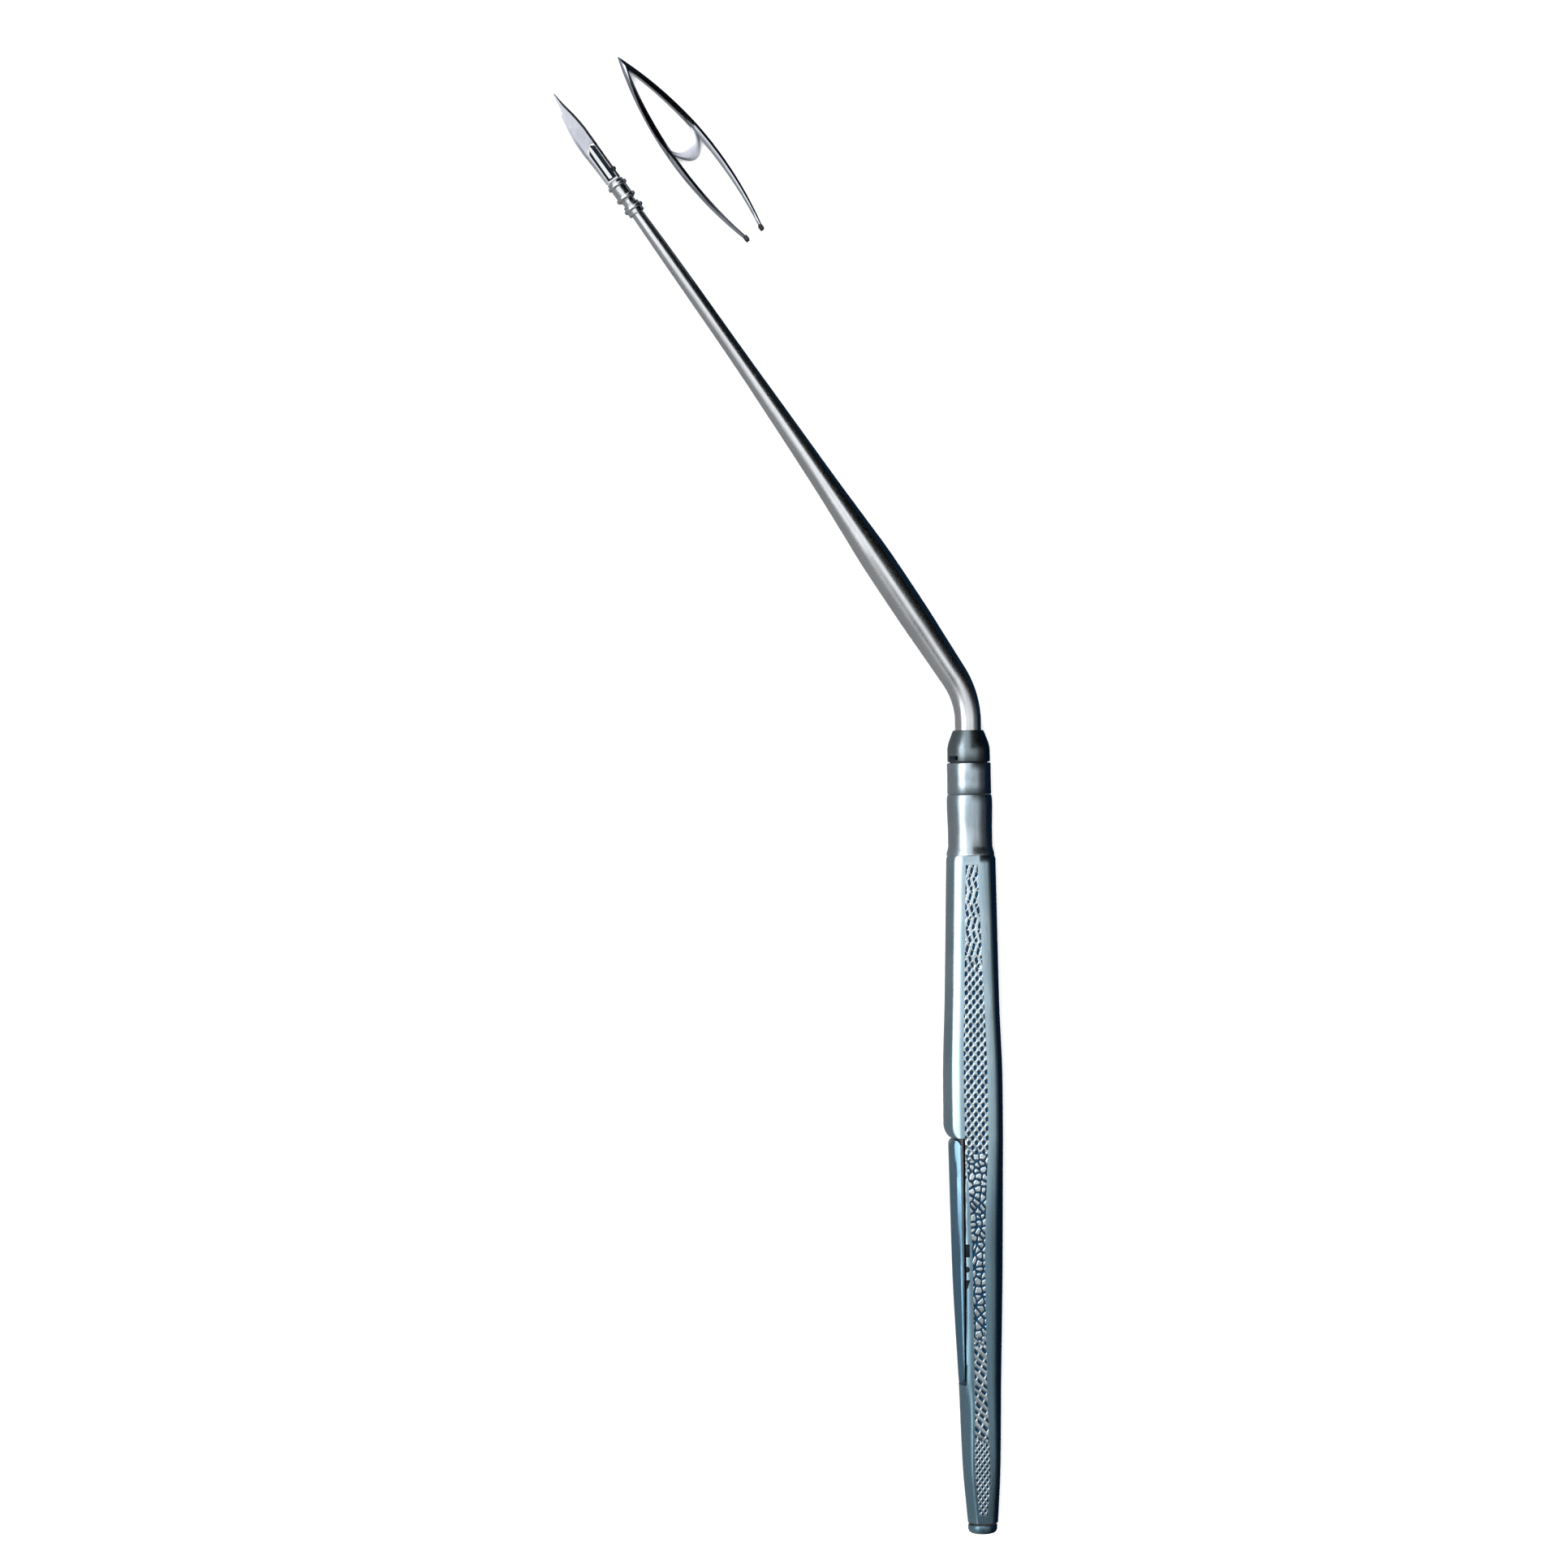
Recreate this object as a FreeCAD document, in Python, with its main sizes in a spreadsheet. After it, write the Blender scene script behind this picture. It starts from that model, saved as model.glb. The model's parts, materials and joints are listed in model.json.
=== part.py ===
# Angled dental explorer with a lever-released collet chuck, a clip-on spear blade and a loose
# hoop guard that lies beside it.
#
# Row frame: millimetres, +Z up.  The instrument lies on its back.  The handle's axis runs along
# +Y towards the tip, the shank bends towards -X, and the origin is on the flat underside of the
# handle, in the middle of its widest stretch.
import FreeCAD, Part
import math
import os
import re

import Sketcher
from FreeCAD import Placement, Rotation, Vector

doc = FreeCAD.newDocument("dental_explorer")

# ------------------------------------------------------------------ driving dimensions
# Stations are distances along the handle's axis from the butt end.
SIZES = {
    # places of the handle's cross sections
    "butt_station": 1.4, "heel_station": 8.4, "tail_station": 18.4, "pivot_station": 32.8,
    "grip_station": 43.0, "step_station": 48.6, "bulge_station": 56.0, "taper_station": 66.0,
    "shell_end": 83.5, "rest_station": 50.0,
    # half width on the lever side, half width on the plain side, half thickness, half flat
    "butt_left": 1.8, "butt_right": 1.9, "butt_half": 1.8, "butt_flat": 0.75,
    "heel_left": 2.3, "heel_right": 2.3, "heel_half": 2.25, "heel_flat": 1.25,
    "tail_left": 2.6, "tail_right": 2.56, "tail_half": 2.6, "tail_flat": 1.15,
    "pivot_left": 3.15, "pivot_right": 3.0, "pivot_half": 3.1, "pivot_flat": 1.15,
    "grip_left": 3.28, "grip_right": 3.2, "grip_half": 3.35, "grip_flat": 1.5,
    "step_left": 3.33, "step_bulge": 3.92, "step_right": 3.31, "step_flat": 1.85,
    "bulge_left": 3.85, "bulge_right": 3.38, "bulge_flat": 1.85,
    "taper_left": 3.47, "taper_right": 3.15, "taper_half": 3.2, "taper_flat": 1.6,
    "end_left": 2.96, "end_right": 3.05, "end_half": 3.0, "end_flat": 1.1,
    # a side's fall from the flat: where its shoulder is, its drop there and its whole drop
    "shoulder_share": 0.6, "shoulder_drop": 0.22, "side_drop": 0.95,
    # grip strips let into the front and back flats
    "strip_margin": 0.12, "strip_depth": 0.5, "strip_start": 2.4, "strip_end_gap": 1.1,
    # bores and the neck socket
    "bore_wall_gap": 0.1, "bore_start": 41.5, "socket_radius": 2.0, "socket_depth": 8.5,
    # butt plug
    "plug_radius": 0.9, "plug_length": 6.5, "seal_thickness": 0.3, "seal_lip": 0.12,
    # side lever
    "lever_start": 18.8, "lever_inner": 1.85, "slot_gap": 0.3, "slot_floor_tail": 1.75,
    "slot_floor_top": 1.4, "lever_round": 0.7,
    "pivot_offset": 1.3, "pin_radius": 0.3, "pin_clearance": 0.03, "pin_half": 2.75,
    "lug_wall": 0.55, "lug_half": 0.7, "lug_gap": 0.2,
    "toe_start": 43.6, "toe_end": 45.75, "toe_lap": 0.38, "toe_clear": 0.08, "toe_half": 0.4, "toe_gap": 0.25,
    "mark_depth": 0.6,
    # draw rod, spring and guide bush
    "rod_radius": 0.5, "rod_start": 42.4, "flange_wall": 0.45,
    "flange_length": 0.6, "seat_length": 0.5, "running_fit": 0.04,
    "spring_offset": 0.26, "wire_radius": 0.11, "spring_length": 14.0, "spring_turns": 10,
    "bush_length": 13.0,
    # neck
    "neck_wall": 0.62, "neck_shoulder_wall": 0.85, "neck_length": 7.5, "thread_wall": 0.36,
    "ring_length": 3.9, "ring_wall": 0.6, "ring_gap": 0.05, "face_gap": 0.1,
    "nose_shell": 0.52, "nose_length": 3.9, "nose_straight": 1.7, "mouth_gap": 0.12,
    "nose_lip": 0.23, "nose_wall": 1.3, "notch_width": 1.2, "notch_length": 0.75,
    "notch_floor": 1.0, "nose_seal_length": 0.35, "thread_setback": 0.6,
    # collet
    "collet_wall": 0.12, "collet_front_wall": 0.4, "collet_setback": 0.2, "collet_length": 10.2,
    "cone_length": 4.8, "collet_slit": 0.25, "slit_length": 6.3, "well_gap": 0.4,
    # shank
    "tang_grip": 8.0, "tang_radius": 1.22, "shank_radius": 1.6, "shoulder_inset": 0.9,
    "bend_start": 1.1, "bend_radius": 10.5, "bend_angle": 32.2, "bow_angle": 2.3,
    "shank_reach": 69.8, "bend_end_radius": 1.72, "belly_radius": 1.94, "belly_reach": 13.0,
    "waist_radius": 1.3, "waist_reach": 37.0, "slim_radius": 0.95, "slim_reach": 55.0,
    "end_radius": 0.73,
    # tip holder, ferrule, lock ring (distances from the shank's end)
    "barrel_step": 0.07, "barrel_length": 4.3, "tongue_length": 9.5, "tongue_half": 0.48,
    "tongue_thickness": 0.6, "tongue_width": 1.2, "rail_gap": 0.12, "rail_proud": 0.12,
    "rail_start": 4.6, "tooth_station": 5.3, "tooth_width": 0.45, "tooth_reach": 1.15, "ferrule_start": 0.7,
    "ferrule_end": 0.7, "ferrule_wall": 0.2, "rib_height": 0.24, "rib_width": 0.5,
    "lock_start": 1.35, "lock_end": 4.1, "lock_rib_back": 1.7, "lock_rib_front": 3.5,
    # blade
    "blade_length": 17.3, "blade_half": 1.1, "blade_thickness": 0.4, "blade_heel": 4.2,
    "blade_gap": 0.03, "blade_slot_left": 0.66, "blade_slot_right": 0.64,
    "slot_rear": 4.45, "slot_front": 9.6, "shoulder_reach": 10.0, "spear_reach": 13.8,
    # hoop guard: two arcs a side, round their own centres
    "guard_aside": 14.488, "guard_back": 2.651, "guard_turn": 36.7, "guard_height": 1.8,
    "guard_arc": 47.6, "guard_half": 2.75, "guard_belly": 11.3,
    "guard_inner_arc": 56.0, "guard_wall": 0.75, "guard_inner_belly": 10.3,
    "web_station": 14.9, "web_radius": 3.6, "web_bite": 1.0, "web_inner": 3.0,
    "web_bottom": 0.7, "web_thickness": 0.4, "pad_length": 0.7, "pad_width": 0.5,
}

# What seats on, passes through or lines up with another piece follows that piece's sizes.
FOLLOWING = {
    "strip_end": "(shell_end - strip_end_gap)",
    "nose_end": "(shell_end + neck_length + ring_length + face_gap + nose_length)",
    "thread_end": "(nose_end - nose_wall - thread_setback)",
    "collet_end": "(thread_end - collet_setback)", "collet_start": "(collet_end - collet_length)",
    "collet_cone": "(collet_end - cone_length)", "slit_start": "(collet_end - slit_length)",
    "tang_start": "(collet_end - tang_grip)", "well_start": "(collet_start - well_gap)",
    "shank_shoulder": "(nose_end - shoulder_inset)", "bend_station": "(nose_end + bend_start)",
    "collet_radius": "(tang_radius + running_fit + collet_wall)",
    "collet_front": "(tang_radius + running_fit + collet_front_wall)",
    "thread_radius": "(collet_front + 2 * running_fit + thread_wall)",
    "neck_radius": "(thread_radius + neck_wall)",
    "neck_shoulder": "(thread_radius + neck_shoulder_wall)",
    "ring_radius": "(thread_radius + ring_wall)", "nose_radius": "(thread_radius + nose_shell)",
    "nose_mouth": "(shank_radius + mouth_gap)", "nose_front": "(nose_mouth + nose_lip)",
    "flange_radius": "(rod_radius + flange_wall)", "bore_radius": "(flange_radius + bore_wall_gap)",
    "toe_reach": "(rod_radius + toe_lap)", "cone_start": "(toe_end + toe_clear - toe_lap)",
    "spring_radius": "(rod_radius + spring_offset)", "lug_radius": "(pin_radius + lug_wall)",
    "barrel_radius": "(end_radius + barrel_step)", "guard_inner_half": "(guard_half - guard_wall)",
}

sheet = doc.addObject("Spreadsheet::Sheet", "Sizes")
for row, (alias, value) in enumerate(SIZES.items(), start=1):
    sheet.set("A%d" % row, alias)
    sheet.set("B%d" % row, str(value))
    sheet.setAlias("B%d" % row, alias)
doc.recompute()


# ------------------------------------------------------------------ helpers
def named(expression):
    """The expression with every size written as a reference to the sheet."""
    def refer(match):
        word = match.group()
        if word in FOLLOWING:
            return named(FOLLOWING[word])
        return "Sizes." + word if word in SIZES else word
    return re.sub(r"[a-z_][a-z_0-9]*", refer, str(expression))


def value_of(expression):
    """The number that an expression gives now."""
    result = sheet.evalExpression(named(expression))
    return float(getattr(result, "Value", result))


def bind(thing, **expressions):
    """Tie properties to expressions; a double underscore stands for a dot."""
    for prop, expression in expressions.items():
        thing.setExpression(prop.replace("__", "."), named(expression))


def on_axis(thing):
    """Put a sub-part that is drawn about the handle's axis into the row frame."""
    bind(thing, Placement__Base__y="-rest_station", Placement__Base__z="grip_half")


BEND_X = "-(bend_radius * (1 - cos(bend_angle * 1 deg)))"
BEND_Y = "bend_station + bend_radius * sin(bend_angle * 1 deg)"
CHORD_TURN = "(bend_angle + bow_angle / 2) * 1 deg"
TIP_X = "%s - shank_reach * sin(%s)" % (BEND_X, CHORD_TURN)
TIP_Y = "%s + shank_reach * cos(%s)" % (BEND_Y, CHORD_TURN)


def on_tip(thing):
    """Put a sub-part that is drawn about the shank's end into the row frame."""
    thing.Placement = Placement(Vector(0, 0, 0), Rotation(Vector(0, 0, 1), 1.0))
    bind(thing, Placement__Base__x=TIP_X, Placement__Base__y="%s - rest_station" % TIP_Y,
         Placement__Base__z="grip_half", Placement__Rotation__Angle="(bend_angle + bow_angle) * 1 deg")


def on_guard(thing):
    """Put a piece of the guard into the row frame."""
    thing.Placement = Placement(Vector(0, 0, 0), Rotation(Vector(0, 0, 1), 1.0))
    bind(thing, Placement__Base__x="%s + guard_aside" % TIP_X,
         Placement__Base__y="%s - guard_back - rest_station" % TIP_Y,
         Placement__Rotation__Angle="guard_turn * 1 deg")


def new_body(label, place):
    body = doc.addObject("PartDesign::Body", label)
    body.Label = label
    place(body)
    return body


def origin_plane(body, role):
    return next(item for item in body.Origin.OriginFeatures if item.Role == role)


def new_sketch(body, name, role, offset="0"):
    sketch = body.newObject("Sketcher::SketchObject", name)
    sketch.AttachmentSupport = [(origin_plane(body, role), "")]
    sketch.MapMode = "FlatFace"
    bind(sketch, AttachmentOffset__Base__z=offset)
    return sketch


def place_point(sketch, geometry, point, across, up):
    """Hold one point of a sketch at the two expressions."""
    for kind, expression, axis in (("DistanceX", across, -2), ("DistanceY", up, -1)):
        number = value_of(expression)
        if abs(number) < 1e-9:
            sketch.addConstraint(Sketcher.Constraint("PointOnObject", geometry, point, axis))
        else:
            index = sketch.addConstraint(
                Sketcher.Constraint(kind, -1, 1, geometry, point, number))
            sketch.setExpression("Constraints[%d]" % index, named(expression))


def draw_outline(sketch, points):
    """A closed outline of straight lines through points given as pairs of expressions."""
    spots = [Vector(value_of(across), value_of(up), 0) for across, up in points]
    count = len(spots)
    for index in range(count):
        sketch.addGeometry(Part.LineSegment(spots[index], spots[(index + 1) % count]), False)
    for index in range(count):
        sketch.addConstraint(
            Sketcher.Constraint("Coincident", index, 2, (index + 1) % count, 1))
    for index, (across, up) in enumerate(points):
        place_point(sketch, index, 1, across, up)


def draw_circle(sketch, across, up, radius):
    centre = Vector(value_of(across), value_of(up), 0)
    sketch.addGeometry(Part.Circle(centre, Vector(0, 0, 1), value_of(radius)), False)
    place_point(sketch, 0, 3, across, up)
    index = sketch.addConstraint(Sketcher.Constraint("Radius", 0, value_of(radius)))
    sketch.setExpression("Constraints[%d]" % index, named(radius))


def turned(body, name, points, kind="PartDesign::Revolution"):
    """A turned feature: pairs of (radius, station) spun about the body's Y axis."""
    sketch = new_sketch(body, name + "_profile", "XY_Plane")
    draw_outline(sketch, points)
    feature = body.newObject(kind, name)
    feature.Profile = sketch
    feature.ReferenceAxis = (sketch, ["V_Axis"])
    feature.Angle = 360.0
    sketch.Visibility = False
    return feature


def plate(body, name, points, bottom, height):
    """A plate of the outline seen from above, from bottom up by height."""
    sketch = new_sketch(body, name + "_outline", "XY_Plane", bottom)
    draw_outline(sketch, points)
    feature = body.newObject("PartDesign::Pad", name)
    feature.Profile = sketch
    bind(feature, Length=height)
    return feature


def cut_down(body, name, points, top, depth):
    """Cut the outline seen from above out of the body, from top down by depth."""
    sketch = new_sketch(body, name + "_outline", "XY_Plane", top)
    draw_outline(sketch, points)
    feature = body.newObject("PartDesign::Pocket", name)
    feature.Profile = sketch
    bind(feature, Length=depth)
    return feature


def drill_down(body, name, across, up, radius, top, depth):
    sketch = new_sketch(body, name + "_circle", "XY_Plane", top)
    draw_circle(sketch, across, up, radius)
    feature = body.newObject("PartDesign::Pocket", name)
    feature.Profile = sketch
    bind(feature, Length=depth)
    return feature


def lofted(body, name, sections, kind="PartDesign::AdditiveLoft"):
    """A straight-sided loft through cross sections given as (station, outline)."""
    sketches = []
    for number, (station, outline) in enumerate(sections):
        sketch = new_sketch(body, "%s_section_%d" % (name, number), "XZ_Plane", "-(%s)" % station)
        draw_outline(sketch, outline)
        sketches.append(sketch)
    feature = body.newObject(kind, name)
    feature.Profile = sketches[0]
    feature.Sections = sketches[1:]
    feature.Ruled = True
    return feature


def round_section(body, name, radius, across, up, turn):
    """A circle square to the path, at a place in the XY plane, turned from +Y by turn."""
    sketch = body.newObject("Sketcher::SketchObject", name)
    sketch.AttachmentSupport = [(origin_plane(body, "XZ_Plane"), "")]
    sketch.MapMode = "FlatFace"
    sketch.AttachmentOffset = Placement(Vector(0, 0, 0), Rotation(Vector(0, 1, 0), 1.0))
    bind(sketch, AttachmentOffset__Base__x=across, AttachmentOffset__Base__z="-(%s)" % up,
         AttachmentOffset__Rotation__Angle="(%s) * 1 deg" % turn)
    draw_circle(sketch, "0", "0", radius)
    return sketch


# ------------------------------------------------------------------ handle shell
def grip_outline(left, right, half, flat):
    """Flats front and back; each side falls gently to a shoulder, then steeply to a short side."""
    def side(width):
        spread = "(%s - %s)" % (width, flat)
        shoulder_across = "(%s + %s * shoulder_share)" % (flat, spread)
        shoulder_up = "(%s - %s * shoulder_drop)" % (half, spread)
        side_up = "(%s - %s * side_drop)" % (half, spread)
        return shoulder_across, shoulder_up, side_up
    right_across, right_up, right_side = side(right)
    left_across, left_up, left_side = side(left)
    return [
        ("-" + flat, half), (flat, half), (right_across, right_up), (right, right_side),
        (right, "-" + right_side), (right_across, "-" + right_up), (flat, "-" + half),
        ("-" + flat, "-" + half), ("-" + left_across, "-" + left_up),
        ("-" + left, "-" + left_side), ("-" + left, left_side), ("-" + left_across, left_up),
    ]


BUTT = ("butt_station", grip_outline("butt_left", "butt_right", "butt_half", "butt_flat"))
HEEL = ("heel_station", grip_outline("heel_left", "heel_right", "heel_half", "heel_flat"))
TAIL = ("tail_station", grip_outline("tail_left", "tail_right", "tail_half", "tail_flat"))
PIVOT = ("pivot_station", grip_outline("pivot_left", "pivot_right", "pivot_half", "pivot_flat"))
GRIP = ("grip_station", grip_outline("grip_left", "grip_right", "grip_half", "grip_flat"))
STEP = ("step_station", grip_outline("step_left", "step_right", "grip_half", "step_flat"))
BULGE_FOOT = ("step_station", grip_outline("step_bulge", "step_right", "grip_half", "step_flat"))
BULGE = ("bulge_station", grip_outline("bulge_left", "bulge_right", "grip_half", "bulge_flat"))
TAPER = ("taper_station", grip_outline("taper_left", "taper_right", "taper_half", "taper_flat"))
SHELL_END = ("shell_end", grip_outline("end_left", "end_right", "end_half", "end_flat"))

# A strip ends inside the first and the last stretch, where its width and height are shared out.
START_SHARE = "(strip_start - butt_station) / (heel_station - butt_station)"
END_SHARE = "(strip_end - taper_station) / (shell_end - taper_station)"
STRIP_START_HALF = "(butt_half + (heel_half - butt_half) * %s)" % START_SHARE
STRIP_START_FLAT = "(butt_flat + (heel_flat - butt_flat) * %s)" % START_SHARE
STRIP_END_HALF = "(taper_half + (end_half - taper_half) * %s)" % END_SHARE
STRIP_END_FLAT = "(taper_flat + (end_flat - taper_flat) * %s)" % END_SHARE
STRIP_STATIONS = [
    ("strip_start", STRIP_START_HALF, STRIP_START_FLAT),
    ("heel_station", "heel_half", "heel_flat"),
    ("tail_station", "tail_half", "tail_flat"),
    ("pivot_station", "pivot_half", "pivot_flat"),
    ("grip_station", "grip_half", "grip_flat"),
    ("step_station", "grip_half", "step_flat"),
    ("bulge_station", "grip_half", "bulge_flat"),
    ("taper_station", "taper_half", "taper_flat"),
    ("strip_end", STRIP_END_HALF, STRIP_END_FLAT),
]


def strip_sections(side, above):
    """Rectangles of a grip strip; side is 1 for the front, -1 for the back."""
    sections = []
    for station, half, flat in STRIP_STATIONS:
        edge = "(%s - strip_margin)" % flat
        top = "%d * (%s + %s)" % (side, half, above)
        floor = "%d * (%s - strip_depth)" % (side, half)
        sections.append((station, [
            ("-" + edge, floor), (edge, floor), (edge, top), ("-" + edge, top)]))
    return sections


LEVER_SLOT_START = "(lever_start - slot_gap)"
LEVER_SLOT_END = "(step_station + slot_gap)"
FAR_OUT = "(step_bulge + 2)"


def cut_lever_slot(body):
    """Room for the lever, through the handle from front to back."""
    cut_down(body, "lever_slot", [
        ("-" + FAR_OUT, LEVER_SLOT_START), ("-slot_floor_tail", LEVER_SLOT_START),
        ("-slot_floor_top", LEVER_SLOT_END), ("-" + FAR_OUT, LEVER_SLOT_END)],
        "grip_half + 1", "2 * (grip_half + 1)")


def make_handle_shell():
    body = new_body("handle_shell", on_axis)
    lofted(body, "lower_grip", [BUTT, HEEL, TAIL, PIVOT, GRIP, STEP])
    lofted(body, "upper_grip", [BULGE_FOOT, BULGE, TAPER, SHELL_END])
    for side, name in ((1, "front"), (-1, "back")):
        lofted(body, name + "_recess", strip_sections(side, "1"), "PartDesign::SubtractiveLoft")
    socket_start = "shell_end - socket_depth"
    turned(body, "main_bore", [
        ("0", "bore_start"), ("bore_radius", "bore_start"), ("bore_radius", socket_start),
        ("socket_radius", socket_start), ("socket_radius", "shell_end + 1"),
        ("0", "shell_end + 1")], "PartDesign::Groove")
    turned(body, "plug_hole", [
        ("0", "butt_station - 1"), ("plug_radius", "butt_station - 1"),
        ("plug_radius", "butt_station + plug_length"), ("0", "butt_station + plug_length")],
        "PartDesign::Groove")
    cut_lever_slot(body)
    cut_down(body, "toe_window", [
        ("-lever_inner", "toe_start - toe_gap"), ("-rod_radius", "toe_start - toe_gap"),
        ("-rod_radius", "toe_end + toe_gap"), ("-lever_inner", "toe_end + toe_gap")],
        "toe_half + toe_gap", "2 * (toe_half + toe_gap)")
    cut_down(body, "lug_pocket", [
        ("-lever_inner", "pivot_station - lug_radius - lug_gap"),
        ("-pivot_offset + lug_radius + lug_gap", "pivot_station - lug_radius - lug_gap"),
        ("-pivot_offset + lug_radius + lug_gap", "pivot_station + lug_radius + lug_gap"),
        ("-lever_inner", "pivot_station + lug_radius + lug_gap")],
        "lug_half + lug_gap", "2 * (lug_half + lug_gap)")
    drill_down(body, "pin_hole", "-pivot_offset", "pivot_station", "pin_radius",
               "pivot_half + 1", "2 * (pivot_half + 1)")
    mark_left = "-slot_floor_tail"
    cut_down(body, "square_notch", [
        (mark_left, "pivot_station + 1.5"), ("-pivot_offset + 0.1", "pivot_station + 1.5"),
        ("-pivot_offset + 0.1", "pivot_station + 3.1"), (mark_left, "pivot_station + 3.1")],
        "pivot_half + 0.2", "mark_depth + 0.7")
    cut_down(body, "wedge_notch", [
        (mark_left, "pivot_station - 2.6"), ("-pivot_offset + 0.3", "pivot_station - 1.4"),
        (mark_left, "pivot_station - 1.3")],
        "pivot_half + 0.2", "mark_depth + 0.7")
    return body


def make_grip_strip(label, side):
    body = new_body(label, on_axis)
    lofted(body, label + "_bar", strip_sections(side, "0"))
    cut_lever_slot(body)
    drill_down(body, "pin_relief", "-pivot_offset", "pivot_station", "pin_radius",
               "pivot_half + 1", "2 * (pivot_half + 1)")
    if side == 1:
        cut_down(body, "notch_relief", [
            ("-slot_floor_tail", "pivot_station + 1.5"),
            ("-pivot_offset + 0.1", "pivot_station + 1.5"),
            ("-pivot_offset + 0.1", "pivot_station + 3.1"),
            ("-slot_floor_tail", "pivot_station + 3.1")], "pivot_half + 1", "2 * strip_depth + 1")
    return body


def make_butt_plug():
    body = new_body("butt_plug", on_axis)
    seat = "butt_station - seal_thickness"
    turned(body, "plug", [
        ("0", "0"), ("butt_half * 0.62", "0"), ("butt_half * 0.9", "seal_thickness * 0.8"),
        ("butt_half", "seal_thickness * 2"), ("butt_half", seat), ("plug_radius", seat),
        ("plug_radius", "butt_station + plug_length - 0.3"),
        ("0", "butt_station + plug_length - 0.3")])
    return body


def make_butt_seal():
    body = new_body("butt_seal", on_axis)
    turned(body, "seal", [
        ("plug_radius", "butt_station - seal_thickness"),
        ("butt_half - seal_lip", "butt_station - seal_thickness"),
        ("butt_half - seal_lip", "butt_station"), ("plug_radius", "butt_station")])
    return body


# ------------------------------------------------------------------ side lever and its pin
def make_side_lever():
    body = new_body("side_lever", on_axis)
    lofted(body, "lever_blank", [TAIL, PIVOT, GRIP, STEP])
    cut_down(body, "inner_face", [
        ("-lever_inner", "lever_start - 5"), (FAR_OUT, "lever_start - 5"),
        (FAR_OUT, "step_station + 5"), ("-lever_inner", "step_station + 5")],
        "grip_half + 1", "2 * (grip_half + 1)")
    cut_down(body, "tail_end", [
        ("-" + FAR_OUT, "lever_start - 5"), (FAR_OUT, "lever_start - 5"),
        (FAR_OUT, "lever_start"), ("-" + FAR_OUT, "lever_start")],
        "grip_half + 1", "2 * (grip_half + 1)")
    cut_down(body, "top_corner", [
        ("-" + FAR_OUT, "step_station - lever_round"),
        ("-(step_left + 0.01)", "step_station - lever_round"),
        ("-(step_left - lever_round)", "step_station + 0.01"),
        ("-" + FAR_OUT, "step_station + 0.01")], "grip_half + 1", "2 * (grip_half + 1)")
    plate(body, "pivot_lug", [
        ("-lever_inner - 0.2", "pivot_station - lug_radius"),
        ("-pivot_offset + lug_radius * 0.5", "pivot_station - lug_radius"),
        ("-pivot_offset + lug_radius", "pivot_station - lug_radius * 0.5"),
        ("-pivot_offset + lug_radius", "pivot_station + lug_radius * 0.5"),
        ("-pivot_offset + lug_radius * 0.5", "pivot_station + lug_radius"),
        ("-lever_inner - 0.2", "pivot_station + lug_radius")], "-lug_half", "2 * lug_half")
    plate(body, "toe", [
        ("-lever_inner - 0.2", "toe_start"), ("-toe_reach - 0.3", "toe_start"),
        ("-toe_reach", "toe_start + 0.6"), ("-toe_reach", "toe_end"),
        ("-lever_inner - 0.2", "toe_end")], "-toe_half", "2 * toe_half")
    drill_down(body, "lever_hole", "-pivot_offset", "pivot_station",
               "pin_radius + pin_clearance", "pivot_half + 1", "2 * (pivot_half + 1)")
    return body


def make_lever_pin():
    body = new_body("lever_pin", on_axis)
    sketch = new_sketch(body, "pin_circle", "XY_Plane", "-pin_half")
    draw_circle(sketch, "-pivot_offset", "pivot_station", "pin_radius")
    pad = body.newObject("PartDesign::Pad", "pin")
    pad.Profile = sketch
    bind(pad, Length="2 * pin_half")
    return body


# ------------------------------------------------------------------ draw rod and its spring
CONE_END = "cone_start + flange_radius - rod_radius"
FLANGE_END = "(%s + flange_length)" % CONE_END
SEAT_END = "(%s + seat_length)" % FLANGE_END
ROD_END = "collet_start + 1.5"


def make_draw_rod():
    body = new_body("draw_rod", on_axis)
    turned(body, "rod", [
        ("0", "rod_start"), ("rod_radius", "rod_start"), ("rod_radius", "cone_start"),
        ("flange_radius", CONE_END), ("flange_radius", FLANGE_END), ("rod_radius", FLANGE_END),
        ("rod_radius", ROD_END), ("0", ROD_END)])
    return body


def make_spring_seat():
    body = new_body("spring_seat", on_axis)
    turned(body, "seat", [
        ("rod_radius", FLANGE_END), ("flange_radius", FLANGE_END), ("flange_radius", SEAT_END),
        ("rod_radius", SEAT_END)])
    return body


def make_return_spring():
    body = new_body("return_spring", on_axis)
    sketch = new_sketch(body, "wire_section", "XY_Plane")
    draw_circle(sketch, "spring_radius", "%s + wire_radius + 0.05" % SEAT_END, "wire_radius")
    helix = body.newObject("PartDesign::AdditiveHelix", "coils")
    helix.Profile = sketch
    helix.ReferenceAxis = (sketch, ["V_Axis"])
    helix.Mode = "pitch-height-angle"
    bind(helix, Height="spring_length", Pitch="spring_length / spring_turns")
    return body


BUSH_START = "(%s + spring_length + 2 * wire_radius + 0.15)" % SEAT_END


def make_guide_bush():
    body = new_body("guide_bush", on_axis)
    inner = "rod_radius + running_fit"
    turned(body, "bush", [
        (inner, BUSH_START), ("bore_radius", BUSH_START), ("bore_radius", BUSH_START + " + bush_length"),
        (inner, BUSH_START + " + bush_length")])
    return body


# ------------------------------------------------------------------ neck, ring, nose and collet
NECK_END = "(shell_end + neck_length)"
RING_END = "(shell_end + neck_length + ring_length)"
NOSE_START = "(%s + face_gap)" % RING_END
NOSE_END = "(%s + nose_length)" % NOSE_START
WELL_RADIUS = "(collet_radius + 2 * running_fit)"


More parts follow.
